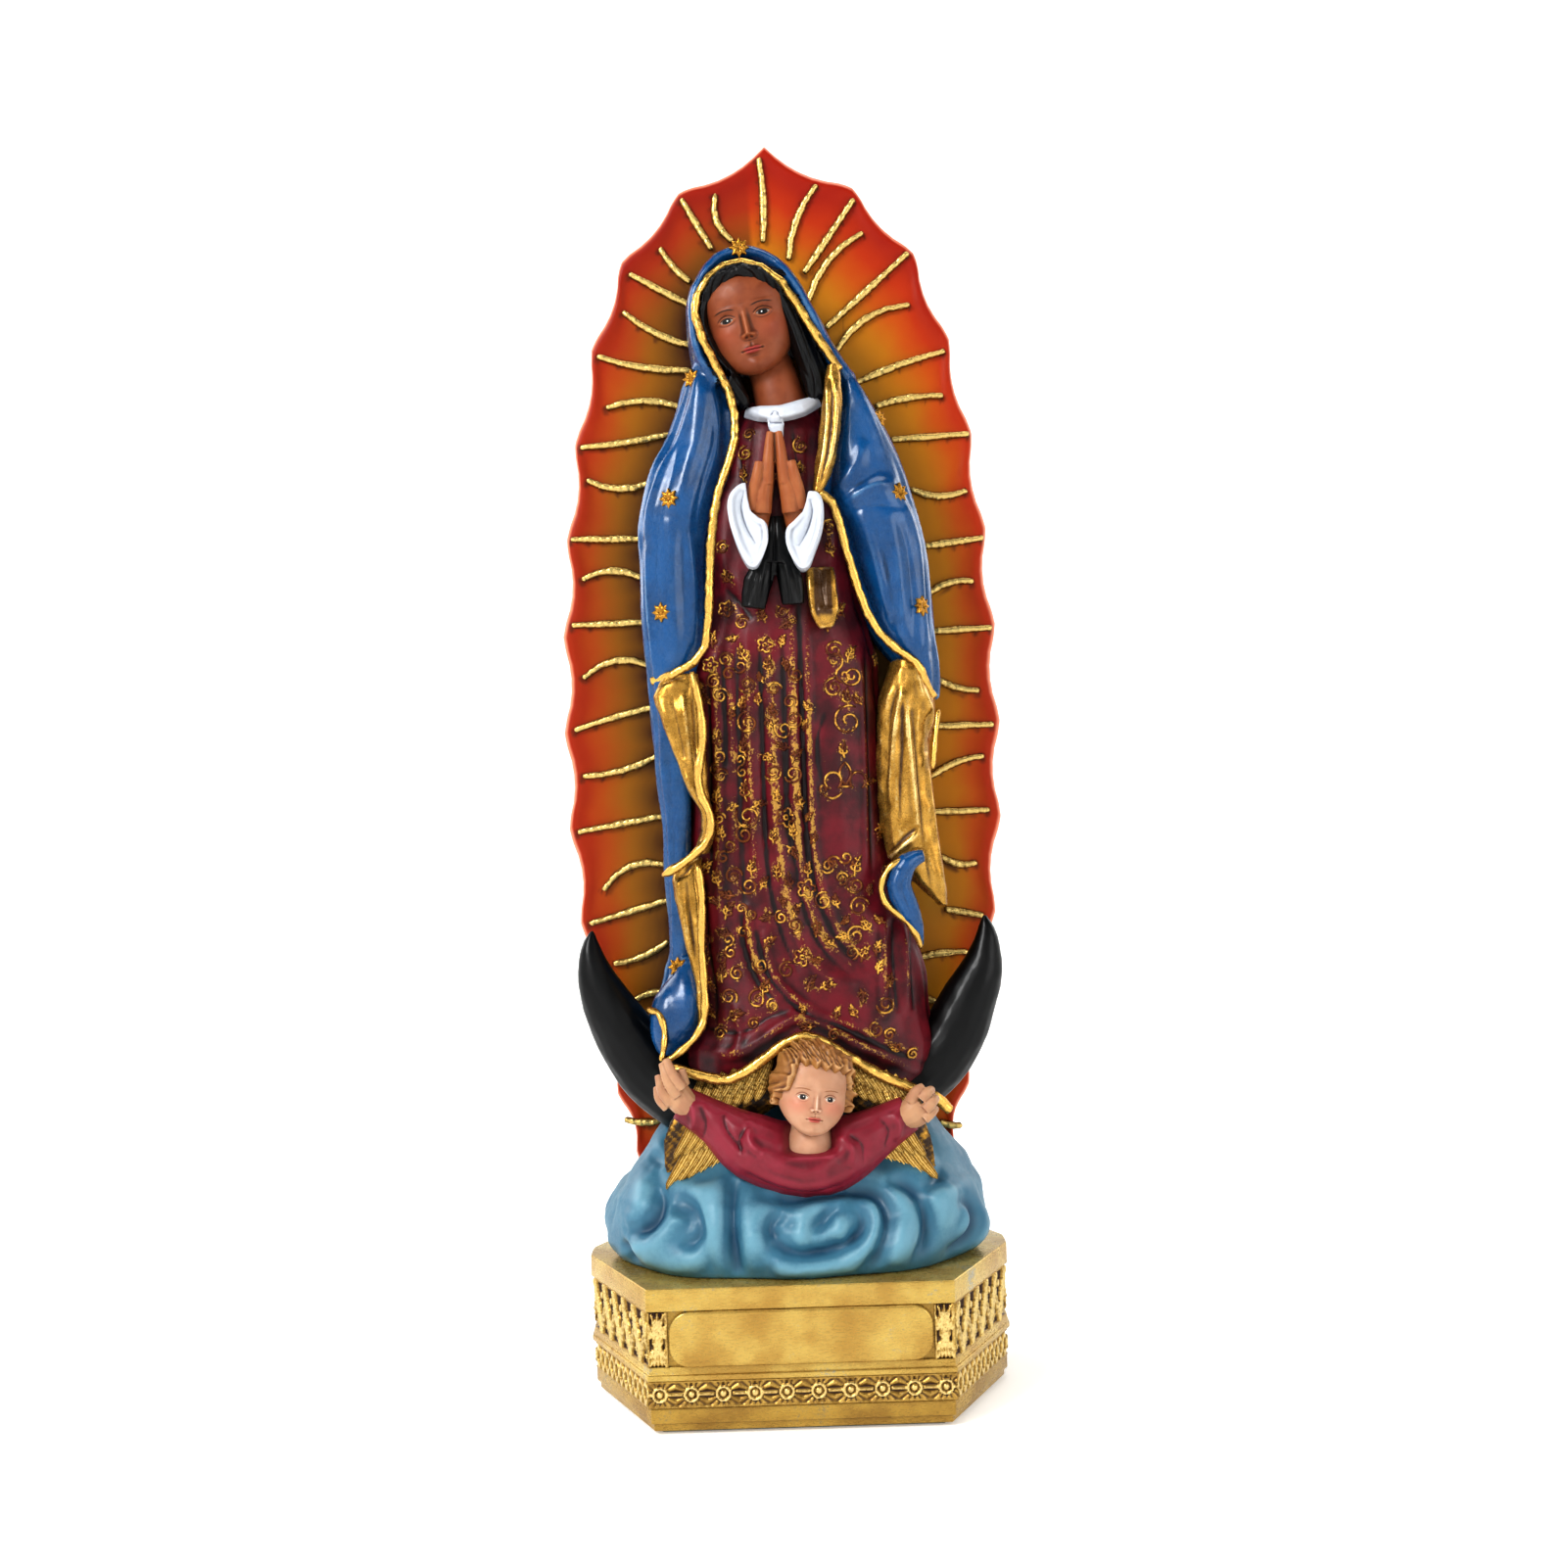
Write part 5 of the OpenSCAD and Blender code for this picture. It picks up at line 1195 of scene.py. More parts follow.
def makeLinings():
    for nodeName, (name, folds) in linings.items():
        obj = sculpted(name, [nodeName], 0.38 if nodeName == "lining_right" else 0.28, 11)
        places, out = spots(obj), facing(obj)
        moveTo(obj, places + out * (0.14 * ripple(places, 7, 21))[:, None])
        pressFolds(obj, folds, 0.85)
        settle(obj, 3)
        noteRelief(obj, 11, 0.2)
        if nodeName == "sleeve_lining":  # painted shade fills the fold of the sleeve
            places = spots(obj)
            inside = eased(2.4, 1.4, np.abs(places[:, 0] - 10.4)) * eased(179.5, 181.5, places[:, 2])
            height = np.zeros(len(places), np.float32)
            obj.data.attributes["relief"].data.foreach_get("value", height)
            note(obj, "relief", height - 1.3 * inside)
        show(obj, "lining_gold", finish["liningGold"], nodeName)


makeLinings()
print("linings made")

# heads

adultFace = {"eye": (0.16, 0.487), "nose": 0.305, "mouth": 0.203, "brow": 0.575, "iris": 0.04,
             "gaze": -0.004, "lidRound": 0.096, "lidOpen": 0.042, "lidWide": 0.074, "blush": 0.3}
childFace = {"eye": (0.16, 0.435), "nose": 0.285, "mouth": 0.195, "brow": 0.535, "iris": 0.034,
             "gaze": 0.0, "lidRound": 0.082, "lidOpen": 0.052, "lidWide": 0.068, "blush": 0.4}
adultRows = [  # share of the height, half width, front, back, all in head heights
    (0, 0.017, -0.29, -0.23), (0.015, 0.099, -0.33, -0.14), (0.05, 0.182, -0.362, -0.06),
    (0.12, 0.262, -0.372, 0.03), (0.2, 0.321, -0.372, 0.12), (0.3, 0.372, -0.372, 0.24),
    (0.4, 0.403, -0.374, 0.34), (0.5, 0.42, -0.376, 0.4), (0.6, 0.427, -0.382, 0.43),
    (0.7, 0.422, -0.374, 0.435), (0.8, 0.385, -0.336, 0.41), (0.9, 0.29, -0.246, 0.32),
    (0.97, 0.154, -0.12, 0.19), (1, 0.017, 0.02, 0.05)]
childRows = [
    (0, 0.015, -0.28, -0.22), (0.015, 0.09, -0.325, -0.12), (0.05, 0.17, -0.36, -0.05),
    (0.12, 0.255, -0.372, 0.04), (0.2, 0.325, -0.376, 0.14), (0.3, 0.378, -0.376, 0.26),
    (0.4, 0.398, -0.376, 0.36), (0.5, 0.4, -0.38, 0.42), (0.6, 0.402, -0.39, 0.45),
    (0.7, 0.395, -0.385, 0.455), (0.8, 0.36, -0.345, 0.43), (0.9, 0.275, -0.255, 0.34),
    (0.97, 0.15, -0.13, 0.2), (1, 0.015, 0.02, 0.05)]


def headSurface(rows, columns=230, lines=210):  # an egg of rings, closer together over the face
    rows = np.array(rows)
    smooth = throughPoints(rows, 8)
    share = 0.5 - 0.5 * np.cos(math.pi * np.linspace(0, 1, lines))
    share = 0.5 * share + 0.5 * np.linspace(0, 1, lines)
    wide, front, back = (np.interp(share, smooth[:, 0], smooth[:, k]) for k in (1, 2, 3))
    u = 2 * math.pi * np.arange(columns) / columns - math.pi
    angle = u - 0.42 * np.sin(u) - math.pi / 2
    c, s = np.cos(angle), np.sin(angle)
    soften = lambda v: np.sign(v) * np.abs(v) ** 0.94
    x = wide[:, None] * soften(c)[None]
    y = ((front + back) / 2)[:, None] + ((back - front) / 2)[:, None] * soften(s)[None]
    return np.stack([x, y, np.repeat(share[:, None], columns, 1)], 2)


def bump(x, t, at, size, height):
    return height * np.exp(-((x - at[0]) / size[0]) ** 2 - ((t - at[1]) / size[1]) ** 2)


def faceRelief(x, t, f, soft):  # how far a calm, even face stands out of the egg
    ax = np.abs(x)
    ex, ez = f["eye"]
    nose, mouth, brow = f["nose"], f["mouth"], f["brow"]
    bridge = ez + 0.05
    ridge = np.interp(t, [nose - 0.02, nose + 0.002, nose + 0.028, nose + 0.1, ez, bridge, brow + 0.02],
                      [0, 0.03, 0.085 * soft, 0.06 * soft, 0.034 * soft, 0.014, 0])
    width = np.interp(t, [nose - 0.02, nose + 0.03, nose + 0.07, ez, brow],
                      [0.05, 0.042, 0.034, 0.027, 0.034])
    total = ridge * np.exp(-(x / width) ** 2)
    total += bump(ax, t, (0.045, nose + 0.016), (0.02, 0.016), 0.024)
    total += bump(ax, t, (0.022, nose + 0.002), (0.012, 0.007), -0.012)
    total += bump(ax, t, (ex, ez + 0.01), (0.078, 0.045), -0.034)
    total += bump(ax, t, (ex, ez + 0.004), (0.058, 0.03), 0.028)
    lidTop = ez + f["lidOpen"] / 2 - (ax - ex) ** 2 / (2 * f["lidRound"])
    lidLow = ez - f["lidOpen"] / 2 + (ax - ex) ** 2 / (2 * f["lidRound"])
    inEye = np.exp(-((ax - ex) / f["lidWide"]) ** 6)
    total += 0.011 * inEye * np.exp(-((t - lidTop - 0.008) / 0.008) ** 2)
    total += -0.009 * inEye * np.exp(-((t - lidTop - 0.027) / 0.006) ** 2)
    total += 0.007 * inEye * np.exp(-((t - lidLow + 0.007) / 0.007) ** 2)
    total += bump(ax, t, (ex, brow), (0.1, 0.022), 0.012)
    total += bump(ax, t, (ex + 0.04, nose + 0.06), (0.1, 0.07), 0.022 * (2 - soft))
    total += bump(x, t, (0, mouth), (0.1, 0.05), 0.018)
    total += bump(ax, t, (0.02, mouth + 0.013), (0.045, 0.011), 0.018)
    total += bump(x, t, (0, mouth - 0.015), (0.055, 0.013), 0.024)
    total += -0.016 * np.exp(-((t - mouth) / 0.0055) ** 2 - (x / 0.085) ** 4)
    total += bump(ax, t, (0.088, mouth), (0.014, 0.012), -0.01)
    total += bump(x, t, (0, mouth - 0.055), (0.06, 0.018), -0.012)
    total += bump(x, t, (0, mouth - 0.12), (0.065, 0.04), 0.024)
    total += bump(x, t, (0, mouth + 0.05), (0.012, 0.022), -0.006)
    return total


def headPlaced(grid, height, chin, turns):  # head heights to millimetres, turned and set on its chin
    local = grid.reshape(-1, 3) - [0, 0, 0.5]
    pitch, yaw, tilt = (math.radians(a) for a in turns)
    spin = np.array(Matrix.Rotation(tilt, 3, "Y") @ Matrix.Rotation(yaw, 3, "Z") @ Matrix.Rotation(pitch, 3,
            "X"))
    return local * height @ spin.T + chin


def gridFaces(lines, columns):  # faces of rings, with a cap at each end
    faces = [(i * columns + j, i * columns + (j + 1) % columns, (i + 1) * columns + (j + 1) % columns,
              (i + 1) * columns + j) for i in range(lines - 1) for j in range(columns)]
    faces.append(tuple(range(columns - 1, -1, -1)))
    faces.append(tuple(range((lines - 1) * columns, lines * columns)))
    return faces


def makeHead(name, rows, f, soft, height, middle, turns):
    grid = headSurface(rows)
    x, t = grid[..., 0], grid[..., 2]
    front = eased(-0.05, -0.25, grid[..., 1])
    shape = grid.copy()
    shape[..., 1] -= faceRelief(x, t, f, soft) * front
    places = headPlaced(shape, height, np.array(middle), turns)
    obj = fromData(name, places, gridFaces(*grid.shape[:2]))
    outwards(obj)
    obj.data.shade_smooth()
    layer = obj.data.attributes.new("faceAt", "FLOAT_VECTOR", "POINT")
    marks = np.stack([x, t, np.zeros_like(x)], 2).reshape(-1, 3)
    marks[grid[..., 1].ravel() > -0.1] = (9, 9, 0)  # no features on the back of the head
    layer.data.foreach_set("vector", marks.astype(np.float32).ravel())
    noteRelief(obj, 10, 0.05)
    return obj, grid


def tapered(name, rows, sides=28):  # a round limb through rows of x, y, z, radius
    path = throughPoints(rows, 5)
    up = np.tile([0.0, -1.0, 0.0], (len(path), 1))
    return cords(name, [(path[:, :3], path[:, 3], up)], sides)


brownSkin = paintedSkin("brown_flesh_acrylic", {
    "base": "7C4024", "second": "884B2D", "washShade": "42200F", "light": "AA6C46", "blush": "A8503A",
    "lips": "9B3B3A",
    "line": "3E1A12", "iris": "1E100B", "white": "8F7E74", "lash": "20100C", "brows": "2B160E",
    "face": adultFace})
paleSkin = paintedSkin("pale_flesh_acrylic", {
    "base": "BE957A", "second": "B4896D", "washShade": "80503A", "light": "F0D6C0", "blush": "C4705C",
    "lips": "B0453F",
    "line": "4A2018", "iris": "1E120C", "white": "D2C6BA", "lash": "3A2218", "brows": "8A5B3A",
    "face": childFace})
handBrown = paintedSkin("brown_hand_acrylic", {"base": "955530", "second": "A0623A", "washShade": "40200F",
                                               "light": "BE7F52"})
handPale = paintedSkin("pale_hand_acrylic", {"base": "B8906F", "second": "AC8164", "washShade": "744632",
                                             "light": "F6E0CC"})


def makeNeck(name, rows):
    neck = tapered(name, rows, 32)
    layer = neck.data.attributes.new("faceAt", "FLOAT_VECTOR", "POINT")
    layer.data.foreach_set("vector", np.full(len(neck.data.vertices) * 3, 9, np.float32))
    note(neck, "relief", np.zeros(len(neck.data.vertices)))
    return neck


def combed(name, grid, covered, thick, placing):  # a cap of hair: the egg of the head, swollen where covered
    way = grid - [0, 0.02, 0.5]
    way /= np.linalg.norm(way, axis=2)[..., None]
    shape = grid + way * (covered * thick - (1 - covered) * 0.05)[..., None]
    hair = fromData(name, headPlaced(shape, *placing), gridFaces(*grid.shape[:2]))
    outwards(hair)
    hair.data.shade_smooth()
    return hair


madonnaAt = (27.4, np.array((-4.8, -4.6, 252.4)), (7, -8, -12))
angelAt = (19.4, np.array((4.2, -27.0, 72.4)), (-4, 8, 9))


def makeMadonnaHead():
    head, grid = makeHead("madonna_face", adultRows, adultFace, 1.0, *madonnaAt)
    neck = makeNeck("neck", [(-2.0, -3.0, 247, 5.4), (-0.2, -4.0, 241, 5.5), (1.2, -4.6, 236, 5.8),
                             (2.2, -4.2, 231, 6.4), (2.6, -2.8, 227, 7.0)])
    show(joined("madonna_face", [head, neck]), "skin_brown", brownSkin, "madonna_head")
    return grid


def makeMadonnaHair(grid):
    x, y, t = grid[..., 0], grid[..., 1], grid[..., 2]
    line = 0.825 - 0.2 * (np.abs(x + 0.01) / 0.33) ** 2.2
    beside = eased(0.375, 0.41, np.abs(x)) * eased(-0.3, -0.15, y)
    covered = np.maximum.reduce([eased(-0.012, 0.02, t - line), eased(-0.12, -0.02, y), beside])
    lane = np.abs(x + 0.01) * 30 + (1 - t) * 3
    strand = 0.5 + 0.5 * np.sin(lane * 2.6 + 1.4 * np.sin(t * 11))
    thick = 0.05 + 0.03 * eased(0, 0.1, np.abs(x + 0.01)) + 0.014 * strand
    cap = combed("hair_cap", grid, covered, thick, madonnaAt)
    left = [(-12.4, -8.6, 262.6, 1.8), (-15.4, -8.2, 256.4, 1.7), (-16.4, -8.0, 249, 1.6),
            (-15.2, -8.4, 242.6, 1.9),
            (-11.8, -10.0, 236.8, 2.3), (-8.4, -10.4, 231, 1.9)]
    right = [(1.4, -9.4, 263.6, 2.2), (5.6, -9.2, 257.4, 2.4), (7.8, -8.8, 250, 2.5), (9.2, -9.4, 243, 2.7),
             (10.4, -10.2, 236.6, 2.8), (11.2, -10.4, 232, 1.9)]
    locks = []
    for rows in (left, right):
        for shift in range(3):  # three strands lie side by side in each lock
            moved = [(a + 0.85 * (shift - 1) * r / 2, b + (0.5 if shift == 1 else 0.9), c, r * 0.74)
                     for a, b, c, r in rows]
            locks.append(tapered("strand", moved, 14))
    obj = joined("madonna_locks", [cap, castOf("cast_hair", "madonna_hair")] + locks)
    applied(obj, "REMESH", mode="VOXEL", voxel_size=0.29 * coarse * mm)
    settle(obj, 1)
    places, out = spots(obj), facing(obj)
    flow = throughPoints([(-6, 230.6), (-9.4, 236), (-13.4, 243), (-15.6, 250), (-15, 256), (-12, 261.4),
                          (-7.4, 264), (-2, 262), (2.4, 256.6), (5.4, 250), (8, 243), (10.6, 236.6),
                          (11.4, 232.4)])
    gap, along, side = awayFrom(places[:, [0, 2]], flow, 12)
    lane = gap * side + 0.35 * places[:, 1]
    strands = 0.13 * np.sin(lane * 5.2 + 2.2 * np.sin(along * 14)) + 0.08 * np.sin(lane * 9 + along * 22)
    moveTo(obj, places + out * strands[:, None])
    tucked(obj, frontOf(mantle, bpy.data.objects["mantle_edging"]), 0.5)
    sheltered(obj, mantle, 0.7)
    obj.data.shade_smooth()
    noteRelief(obj, 5, 0.1)
    show(obj, "hair_black", finish["blackHair"], "madonna_hair")


def makeAngelHead():
    head, grid = makeHead("angel_face", childRows, childFace, 0.75, *angelAt)
    neck = makeNeck("angel_neck", [(3.8, -24.6, 66, 4.3), (3.6, -25.4, 63, 4.6), (3.4, -26.6, 61, 5.2),
                                   (3.2, -26.4, 59.4, 6.0), (3.2, -25.4, 58, 6.0)])
    show(joined("angel_face", [head, neck]), "skin_pale", paleSkin, "angel_head")
    x, y, t = grid[..., 0], grid[..., 1], grid[..., 2]
    side = np.abs(x - 0.05)
    line = 0.79 - 0.12 * (x + 0.1) - 0.36 * eased(0.26, 0.38, side) + 0.018 * np.sin(x * 55 + 1)
    low = 0.34 + 0.04 * np.sin(y * 40)  # the curls end above the ears and the nape
    covered = np.maximum(eased(-0.015, 0.02, t - line), eased(-0.2, -0.1, y)) * eased(-0.03, 0.03, t - low)
    comb = (x + 0.1) * 17 + t * 8 + 2.2 * np.sin(t * 8 + x * 5)
    locks = 0.5 + 0.5 * np.sin(comb * 1.7 + 1.3 * np.sin(t * 26))
    fine = 0.5 + 0.5 * np.sin(comb * 6.5 + 2 * np.sin(t * 19))
    curls = 0.5 + 0.5 * np.sin(x * 34 + 2 * np.sin(t * 30)) * np.sin(t * 30 + y * 20)
    thick = 0.05 + 0.035 * locks + 0.013 * fine + 0.035 * curls * eased(0.3, 0.1, t - line)
    hair = combed("angel_curls", grid, covered, thick, angelAt)
    noteRelief(hair, 8, 0.12)
    show(hair, "hair_brown", finish["brownHair"], "angel_hair")


makeMadonnaHair(makeMadonnaHead())
makeAngelHead()
print("heads made")

# hands, cuffs, collar and ribbon


def makePrayingHands():
    parts = []
    for side in (-1, 1):
        def limb(rows):
            flipped = [(side * x + (0.5 if side > 0 else 0.1), y, z, r) for x, y, z, r in rows]
            parts.append(tapered("finger", flipped, 16))
        limb([(4.4, -14.8, 200.8, 2.6), (4.2, -15.6, 205, 3.1), (3.0, -16.4, 210, 2.7),
              (1.7, -17.0, 214, 2.0)])
        limb([(3.2, -17.6, 204, 2.2), (2.8, -18.2, 208.6, 2.2), (1.8, -18.6, 213, 1.7)])
        for k in range(4):  # four fingers, one behind the other
            limb([(1.9, -19.0 + 1.7 * k, 210.6, 1.5), (1.45, -19.4 + 1.6 * k, 215, 1.4),
                  (1.05, -19.2 + 1.5 * k, 219.2 - 0.3 * k, 1.2),
                  (0.7, -18.8 + 1.4 * k, 222.5 - 0.6 * k, 0.9)])
        # the thumb lies along the front of the palm
        limb([(5.2, -17.6, 205, 1.7), (4.9, -19.0, 208.8, 1.5), (4.0, -19.8, 212.6, 1.3),
              (3.5, -19.8, 215.6, 1.0)])
    obj = joined("joined_hands", parts)
    applied(obj, "REMESH", mode="VOXEL", voxel_size=0.2 * coarse * mm)
    settle(obj, 2)
    pressFolds(obj, [(-0.5, 0.25, [(0.3, 224), (0.3, 216), (0.3, 208)])])
    obj.data.shade_smooth()
    noteRelief(obj, 9, 0.12)
    show(obj, "skin_brown", handBrown, "praying_hands")


cuffs = {  # outline, fold strokes
    "left_cuff": ("left_cuff_cloth", [(-6.6, 210.8), (-9, 209.4), (-10.9, 206.4), (-10.6, 202), (-8.8, 195.8),
                                      (-6.6, 191.6), (-4.4, 191.6), (-2.6, 196), (-1.9, 200.4), (-3.4, 202),
                                      (-5.4, 203.8), (-6.2, 207)], [
        (0.9, 0.6, [(-7, 210.6), (-9.8, 207.4), (-9.8, 202), (-8, 196), (-6, 192.2)]),
        (-1.5, 0.8, [(-7, 209), (-7.8, 205), (-6.8, 200.6), (-4.6, 196.4)]),
        (0.7, 0.5, [(-5.6, 204), (-4.4, 202.2), (-2.8, 200.8), (-2.6, 197), (-4, 192.4)])]),
    "right_cuff": ("right_cuff_cloth", [(7.6, 208.4), (9.8, 208), (11, 205.6), (10.8, 200), (8.8, 194.4),
                                        (7.2, 191), (5, 190.8), (3.2, 194.4), (2.2, 199), (4, 201),
                                        (6, 203.4), (7, 205.8)], [
        (0.9, 0.6, [(8.6, 208), (10.2, 205), (9.8, 200), (8.2, 195.4), (6, 191.4)]),
        (-1.5, 0.8, [(8, 206.6), (8.4, 203.4), (7.2, 199.4), (5, 195.6)]),
        (0.7, 0.5, [(6.4, 203.4), (4.6, 201.2), (3, 199.4), (3, 196), (4.6, 191.6)])]),
}
collarFolds = [(0.4, 0.5, [(-5.6, 229.8), (-2, 227.6), (2, 227.2), (7, 228.4), (10.6, 230.6)]),
               (-0.8, 0.35, [(-5.8, 228.2), (-2.4, 226.2), (2, 225.8), (7, 226.8), (10.6, 228.8)]),
               (-0.35, 0.3, [(-1.2, 225.8), (0.6, 228.6), (2.4, 225.6)])]


def makeWhites():
    for nodeName, (name, outline, folds) in cuffs.items():
        low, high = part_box(nodeName)
        obj = slabFrom(name, outline, low.y / mm - 0.6, high.y / mm, 0.22, 16)
        pressFolds(obj, folds)
        settle(obj, 1)
        noteRelief(obj, 9, 0.16)
        show(obj, "cloth_white", finish["whiteAcrylic"], nodeName)
    obj = sculpted("collar_cloth", ["collar"], 0.22, 3)
    pressFolds(obj, collarFolds)
    settle(obj, 1)
    noteRelief(obj, 8, 0.12)
    show(obj, "cloth_white", finish["whiteAcrylic"], "collar")


def makeRibbon():
    obj = sculpted("sash_knot", ["sash_ribbon"], 0.24, 3)
    pressFolds(obj, [(-1.0, 0.6, [(-0.4, 204), (-0.6, 197), (-0.8, 190), (-0.9, 182)]),
                     (0.6, 0.6, [(-2.6, 194), (-4, 188), (-5, 182)]),
                     (-0.5, 0.4, [(-4.4, 192), (-6, 187), (-7, 183)]),
                     (0.6, 0.6, [(1.6, 194), (2.8, 188), (3.2, 182)]),
                     (-0.5, 0.4, [(3.2, 192), (4.6, 187), (5, 183)])])
    settle(obj, 1)
    noteRelief(obj, 8, 0.14)
    show(obj, "crescent_black", finish["blackEnamel"], "sash_ribbon")


makePrayingHands()
makeWhites()
makeRibbon()
print("hands and white cloth made")

# angel's body, wings and the crescent

tunicFolds = [
    (0.9, 1.6, [(-13, 58), (-6, 54), (2, 52.4), (10, 54), (16, 58)]),
    (-0.9, 1.1, [(-11, 55.6), (-4, 51.6), (3, 50.2), (10, 52)]),
    (0.8, 1.3, [(-8, 60), (-2, 56.4), (4, 55.6), (9, 58)]),
    (-1.1, 0.9, [(-9.6, 66), (-12.6, 63), (-12, 59)]), (0.8, 1.0, [(-10.6, 66.6), (-10, 62), (-7, 59)]),
    (-1.0, 0.9, [(-16, 68), (-15, 64.4), (-12, 60)]), (-0.9, 0.9, [(12, 63), (15, 60.6), (15, 56)]),
    (0.8, 1.0, [(10, 62.6), (12.6, 59.6), (12, 56)]), (-0.9, 0.8, [(19, 66), (21, 63), (20, 59)]),
    (-0.9, 0.8, [(-21, 70), (-20, 66), (-21, 62)]), (0.7, 0.9, [(-23, 71), (-22.4, 67), (-23, 64)]),
    (0.7, 0.9, [(22, 67), (23.4, 64), (22.6, 60.6)]),
]


def makeTunic():
    obj = sculpted("angel_tunic_cloth", ["angel_tunic"], 0.42, 8)
    places = spots(obj)
    neck = np.exp(-((places[:, 0] - 3.3) / 5.0) ** 4) * eased(58.4, 60.4, places[:, 2])
    places[:, 1] += 8 * neck * eased(-20, -24, places[:, 1])
    moveTo(obj, places)
    pressFolds(obj, tunicFolds)
    settle(obj, 1)
    noteRelief(obj, 12, 0.2)
    show(obj, "tunic_crimson", finish["crimsonAcrylic"], "angel_tunic")


def makeAngelHands():
    plans = {
        "angel_left_hand": ("left_hand_grip", [
            [(-22.8, -25.4, 68.4, 2.7), (-25.4, -26, 71, 3.2), (-27, -26, 74, 2.9)],
            [(-26, -28.4, 72.4, 1.5), (-28, -29, 75.6, 1.2), (-29.2, -27.6, 79.6, 1.0)],
            [(-25, -28.6, 74, 1.4), (-26.8, -29.2, 77, 1.2), (-28.4, -28, 80.4, 0.95)],
            [(-27.4, -27, 70.6, 1.5), (-29.4, -27.6, 73.2, 1.2), (-30.2, -26.6, 76.8, 1.0)],
            [(-24.6, -26.4, 74.4, 1.4), (-25.2, -26.8, 78, 1.1)],
            [(-28.4, -25.6, 69.4, 1.4), (-30.2, -25.8, 71.4, 1.2), (-30.8, -25, 74, 0.9)]]),
        "angel_right_hand": ("right_hand_grip", [
            [(24.4, -25.4, 65.2, 2.8), (26.8, -26, 66.6, 3.6), (28.8, -26, 68, 3.3)],
            [(28.6, -28.6, 69.8, 1.4), (29.8, -28.6, 71.2, 1.2), (31, -26.6, 71.6, 1.0)],
            [(29.2, -29.0, 67.6, 1.4), (30.8, -28.8, 69, 1.2), (32, -26.8, 69.8, 0.95)],
            [(29.0, -28.6, 65.4, 1.3), (30.6, -28.4, 66.6, 1.1), (31.8, -26.6, 67.4, 0.9)],
            [(26.2, -27.6, 69.4, 1.5), (27.4, -28.4, 71.6, 1.2), (29, -27.6, 72.4, 1.0)]]),
    }
    for nodeName, (name, limbs) in plans.items():
        parts = [tapered("part", rows, 14) for rows in limbs]
        obj = joined(name, parts)
        applied(obj, "REMESH", mode="VOXEL", voxel_size=0.22 * coarse * mm)
        settle(obj, 2)
        obj.data.shade_smooth()
        noteRelief(obj, 9, 0.12)
        show(obj, "skin_pale", handPale, nodeName)


blade = [(-1, 0.1), (-0.8, -0.5), (-0.62, -0.1), (-0.45, -0.75), (-0.25, -0.3), (0, -1.1), (0.25, -0.3),
         (0.45, -0.75), (0.62, -0.1), (0.8, -0.5), (1, 0.1), (0.5, 0.6), (-0.5, 0.6)]  # section of a feather
flights = {  # rows of feathers: how many, first root and tip, last root and tip, width, bow
    "left": [(7, (-10.4, -19.6, 64), (-15, -20.6, 55.6), (-20, -20.4, 67), (-29.6, -21.2, 50.4), 1.5, -0.6),
             (6, (-11, -20.8, 67), (-16.4, -21.9, 60), (-21.4, -21.2, 68.4), (-27.6, -22.2, 57.4), 1.3, -0.5),
             (7, (-5, -17.6, 79), (-9.2, -19.4, 71.4), (-21, -17.8, 74), (-25.2, -19.4, 66.8), 1.35, -0.4),
             (6, (-6, -18.4, 76), (-8.8, -20.4, 69.4), (-19, -18.6, 71.4), (-22, -20.4, 65), 1.25, -0.4)],
    "right": [(6, (14.4, -19.6, 61.6), (17.6, -20.6, 54.6), (24.2, -20.4, 62.6), (32, -21.2, 50.8), 1.5, 0.6),
              (5, (15.4, -20.8, 64), (19.2, -21.9, 57.8), (24.2, -21.2, 65.2), (29.4, -22.2, 56), 1.3, 0.5),
              (7, (12.2, -17.6, 79), (16.2, -19.4, 71.8), (25, -17.8, 73), (29, -19.4, 66.6), 1.35, 0.4),
              (6, (11.4, -18.4, 76), (14.4, -20.4, 69.6), (23, -18.6, 71), (26, -20.4, 65), 1.25, 0.4)]}


def feather(root, tip, width, bow):  # a blade with a raised quill and barbs along both sides
    run = tip - root
    across = np.cross([0, 1, 0], run / np.linalg.norm(run))
    rings = []
    for s in np.linspace(0, 1, 22):
        middle = root + run * s + across * bow * math.sin(math.pi * s) - [0, 0.7 * math.sin(math.pi * s), 0]
        half = width * (0.3 + 0.7 * math.sin(math.pi * min(s * 0.9 + 0.1, 1)) ** 0.6) * (1 if s < 1 else 0.3)
        barb = 0.18 * math.sin(s * 44)
        rings.append(np.array([middle + across * half * (a + 0.1 * barb) + [0, b * (1 + barb), 0]
                               for a, b in blade]))
    return lofted(rings)


